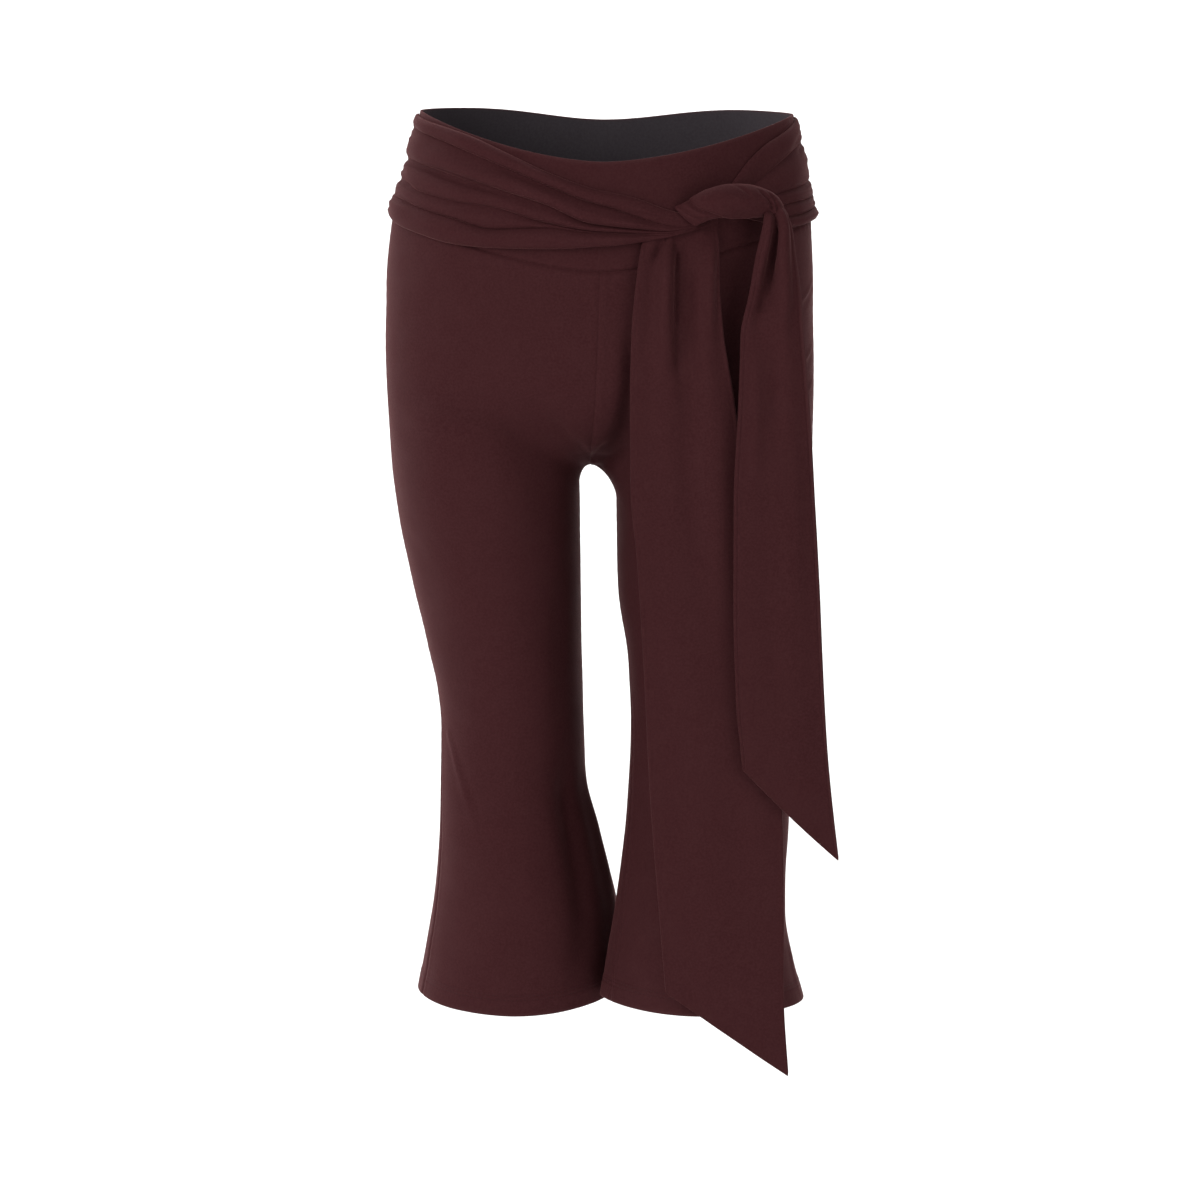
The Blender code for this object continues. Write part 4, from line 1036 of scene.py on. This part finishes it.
def tail_piece(side, material):
    """A hanging tie: two layers sewn along the edges and turned out, with a slanted end."""
    share = seam_to_seam(TAIL_COLUMNS)
    fall = np.linspace(0, 1, TAIL_ROWS + 1)[:, None] ** TAIL_GROWTH
    top_near, top_far, low_near, low_far = TAIL_ENDS[side]
    top = top_near + (top_far - top_near) * share ** TAIL_TOP_CURVE
    low = low_near + (low_far - low_near) * share
    middle = tail_point(side, share, top + (low - top) * fall)
    relief = TAIL_RIPPLE * ripple(middle) + creases(
        TAIL_CREASES[side], middle, lambda share, z: tail_point(side, share, z))
    middle = middle + grid_normals(middle, FORWARD) * relief[..., None]
    sunk = middle[..., 1] - body_front(middle[..., 0], middle[..., 2]) + 0.5 * TIE_THICK + TAIL_CLEAR
    middle[..., 1] -= 0.5 * (sunk + np.hypot(sunk, TAIL_SOFT))
    distances = edge_distances(middle)
    away = np.minimum(np.minimum(distances["start"], distances["end"]), distances["low"])
    edge = EDGE_ROLL * bell(away, EDGE_SEAM_AT) - EDGE_SEAM_DEPTH * bell(away - EDGE_SEAM_AT, EDGE_SEAM_WIDTH)
    half = grid_normals(middle, FORWARD) * (0.5 * TIE_THICK + TAIL_EDGE[side] * edge)[..., None]
    # painted highlight along the edge of the tail that faces the side seam
    wear_and_highlight = TAIL_LIT_EDGE[side] * bell(distances["end"], WEAR_REACH)
    return shell(f"knit_tie_{side}_tail", middle + half, middle - half, (material,), wear_and_highlight)


# --- stitches ---
STITCH_PITCH, STITCH_LENGTH, STITCH_FIRST = 3.1, 2.5, 0.5
THREAD_RADIUS, STITCH_SIDES = 0.24, 6
STITCH_RINGS = ((0, 0.35), (0.12, 0.9), (0.5, 1), (0.88, 0.9), (1, 0.35))  # (share of length, of radius)
STITCH_BURY, STITCH_DIVE = 0.1, 0.16  # how deep the thread sits in the knit, and how much deeper its ends do


def row_above_hem(grid, height):
    """The line across a leg panel at a height above its hem."""
    away, upwards = edge_distances(grid)["low"][::-1], grid[::-1]
    return np.array([point_between(height, away[:, j], upwards[:, j]) for j in range(grid.shape[1])])


def stitches(name, lines, material):
    """Short capsules of thread along lines given as (points, outward normals)."""
    rings, faces = [], []
    count = len(STITCH_RINGS) * STITCH_SIDES
    one = np.arange(count).reshape(-1, STITCH_SIDES)
    beside = np.roll(one, -1, axis=1)
    caps = (one[0, [0, 1, 2, 3]], one[0, [0, 3, 4, 5]], one[-1, [3, 2, 1, 0]], one[-1, [5, 4, 3, 0]])
    capsule = np.concatenate((quads(one[:-1], beside[:-1], beside[1:], one[1:]), caps))
    turns = np.linspace(0, 2 * pi, STITCH_SIDES, endpoint=False)
    for line, normal in lines:
        lengths = lengths_along(line)
        for start in np.arange(STITCH_FIRST, lengths[-1] - STITCH_LENGTH, STITCH_PITCH):
            first, last = [point_between(at, lengths, line) for at in (start, start + STITCH_LENGTH)]
            out = unit(point_between(start, lengths, normal))
            aside = unit(np.cross(last - first, out))
            circle = THREAD_RADIUS * (np.outer(np.cos(turns), out) + np.outer(np.sin(turns), aside))
            faces.append(capsule + count * len(faces))
            for share, size in STITCH_RINGS:
                bury = STITCH_BURY + STITCH_DIVE * (2 * share - 1) ** 2
                rings.append(first + (last - first) * share - out * bury + size * circle)
    points = np.concatenate(rings)
    return add_mesh(name, points, np.concatenate(faces).tolist(), (material,), np.zeros((len(points), 2)),
                    np.zeros(len(points)))


def join(thing, node):
    """Puts a piece in the shared frame: it rides on the garment and stands for its CAD node."""
    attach(thing, "root")
    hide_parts(node)


outside_knit = knit_material("knit_burgundy", (KNIT_COLOUR, KNIT_LIGHT, KNIT_DARK), sheen=0.17)
inside_knit = knit_material("knit_inside", (INSIDE_COLOUR, INSIDE_LIGHT, INSIDE_DARK), sheen=0.06, weave=1.3)
thread = thread_material()

body_points, body_normals = body_grids()
panels = {node: body_piece(node, points, body_normals[node], (outside_knit, inside_knit))
          for node, points in body_points.items()}
for leg in [f"{face}_leg_{side}" for side in SIDES for face in FACES]:
    panel, panel_outer = panels[leg]
    needle_rows = [(row_above_hem(panel_outer, height), body_normals[leg][-1]) for height in HEM_STITCH_ROWS]
    hem_thread = stitches("hem_stitches_" + leg.replace("_leg", ""), needle_rows, thread)
    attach(hem_thread, "root")
    join(panel, leg)
for yoke in ("front_yoke", "back_yoke"):
    join(panels[yoke][0], yoke)

join(band_piece("right", outside_knit), "tie_right_band")
join(band_piece("left", outside_knit), "tie_left_band")
join(knot_piece(outside_knit), "tie_knot")
join(tail_piece("left", outside_knit), "tie_left_tail")
join(tail_piece("right", outside_knit), "tie_right_tail")

# --- stage, light and camera, in metres ---
FLOOR_Z, STAGE_TOP_Z = -1, 3.5
STAGE_FRONT_Y, BACKDROP_Y, BEND_RADIUS, BEND_STEPS = -4.5, 1.6, 0.9, 16
STAGE_WIDTH = 9
GARMENT = (0, 0, -0.33)
CAMERA_AT, CAMERA_AIM = (-0.003, -3, 0.094), (-0.003, 0, -0.361)
CAMERA_LENS, CAMERA_SENSOR = 121.6, 36
WORLD_LIGHT = 0.28


def make_stage():
    """Pale paper sweep: a floor that bends up into a backdrop."""
    turns = np.linspace(0, 0.5 * pi, BEND_STEPS + 1)
    bend = [(BACKDROP_Y + BEND_RADIUS * sin(t), FLOOR_Z + BEND_RADIUS * (1 - cos(t))) for t in turns]
    profile = [(STAGE_FRONT_Y, FLOOR_Z), *bend, (BACKDROP_Y + BEND_RADIUS, STAGE_TOP_Z)]
    points = [(x, y, z) for y, z in profile for x in (-0.5 * STAGE_WIDTH, 0.5 * STAGE_WIDTH)]
    mesh = bpy.data.meshes.new("paper_sweep")
    mesh.from_pydata(points, [], [(2 * i, 2 * i + 1, 2 * i + 3, 2 * i + 2) for i in range(len(profile) - 1)])
    mesh.shade_smooth()
    nodes = Nodes("paper")
    tone = nodes.blend(nodes.noise(nodes.add("TexCoord").outputs["Object"], 3), PAPER, PAPER_LIGHT)
    mesh.materials.append(nodes.finish(Base_Color=tone, Roughness=0.9))
    new_object("paper_sweep", mesh)


def stand(thing, place, aim):
    """Puts a light or the camera at a place, looking at its aim."""
    thing.location = place
    thing.rotation_euler = (Vector(aim) - Vector(place)).to_track_quat("-Z", "Y").to_euler()


def area_light(name, place, aim, size, power):
    data = bpy.data.lights.new(name, "AREA")
    data.shape = "RECTANGLE"
    data.size, data.size_y = size
    data.energy = power
    stand(new_object(name, data), place, aim)


def make_camera():
    data = bpy.data.cameras.new("camera")
    data.lens, data.sensor_width = CAMERA_LENS, CAMERA_SENSOR
    camera = new_object("camera", data)
    stand(camera, CAMERA_AT, CAMERA_AIM)
    bpy.context.scene.camera = camera


make_stage()
area_light("key", (-2.1, -2.1, 1.1), GARMENT, (2, 2), 50)
area_light("fill", (1.6, -2.4, -0.2), GARMENT, (1.6, 1.8), 16)
area_light("rim", (-1.7, 0.7, 0.3), GARMENT, (0.7, 1.8), 16)
area_light("backdrop", (0, 0.7, 1.3), (0, 2.4, -0.3), (3, 0.6), 70)
world = bpy.data.worlds.new("studio")
bpy.context.scene.world = world
world.use_nodes = True
world.node_tree.nodes["Background"].inputs["Color"].default_value = (1, 1, 1, 1)
world.node_tree.nodes["Background"].inputs["Strength"].default_value = WORLD_LIGHT
bpy.context.scene.view_settings.view_transform = "Standard"
make_camera()
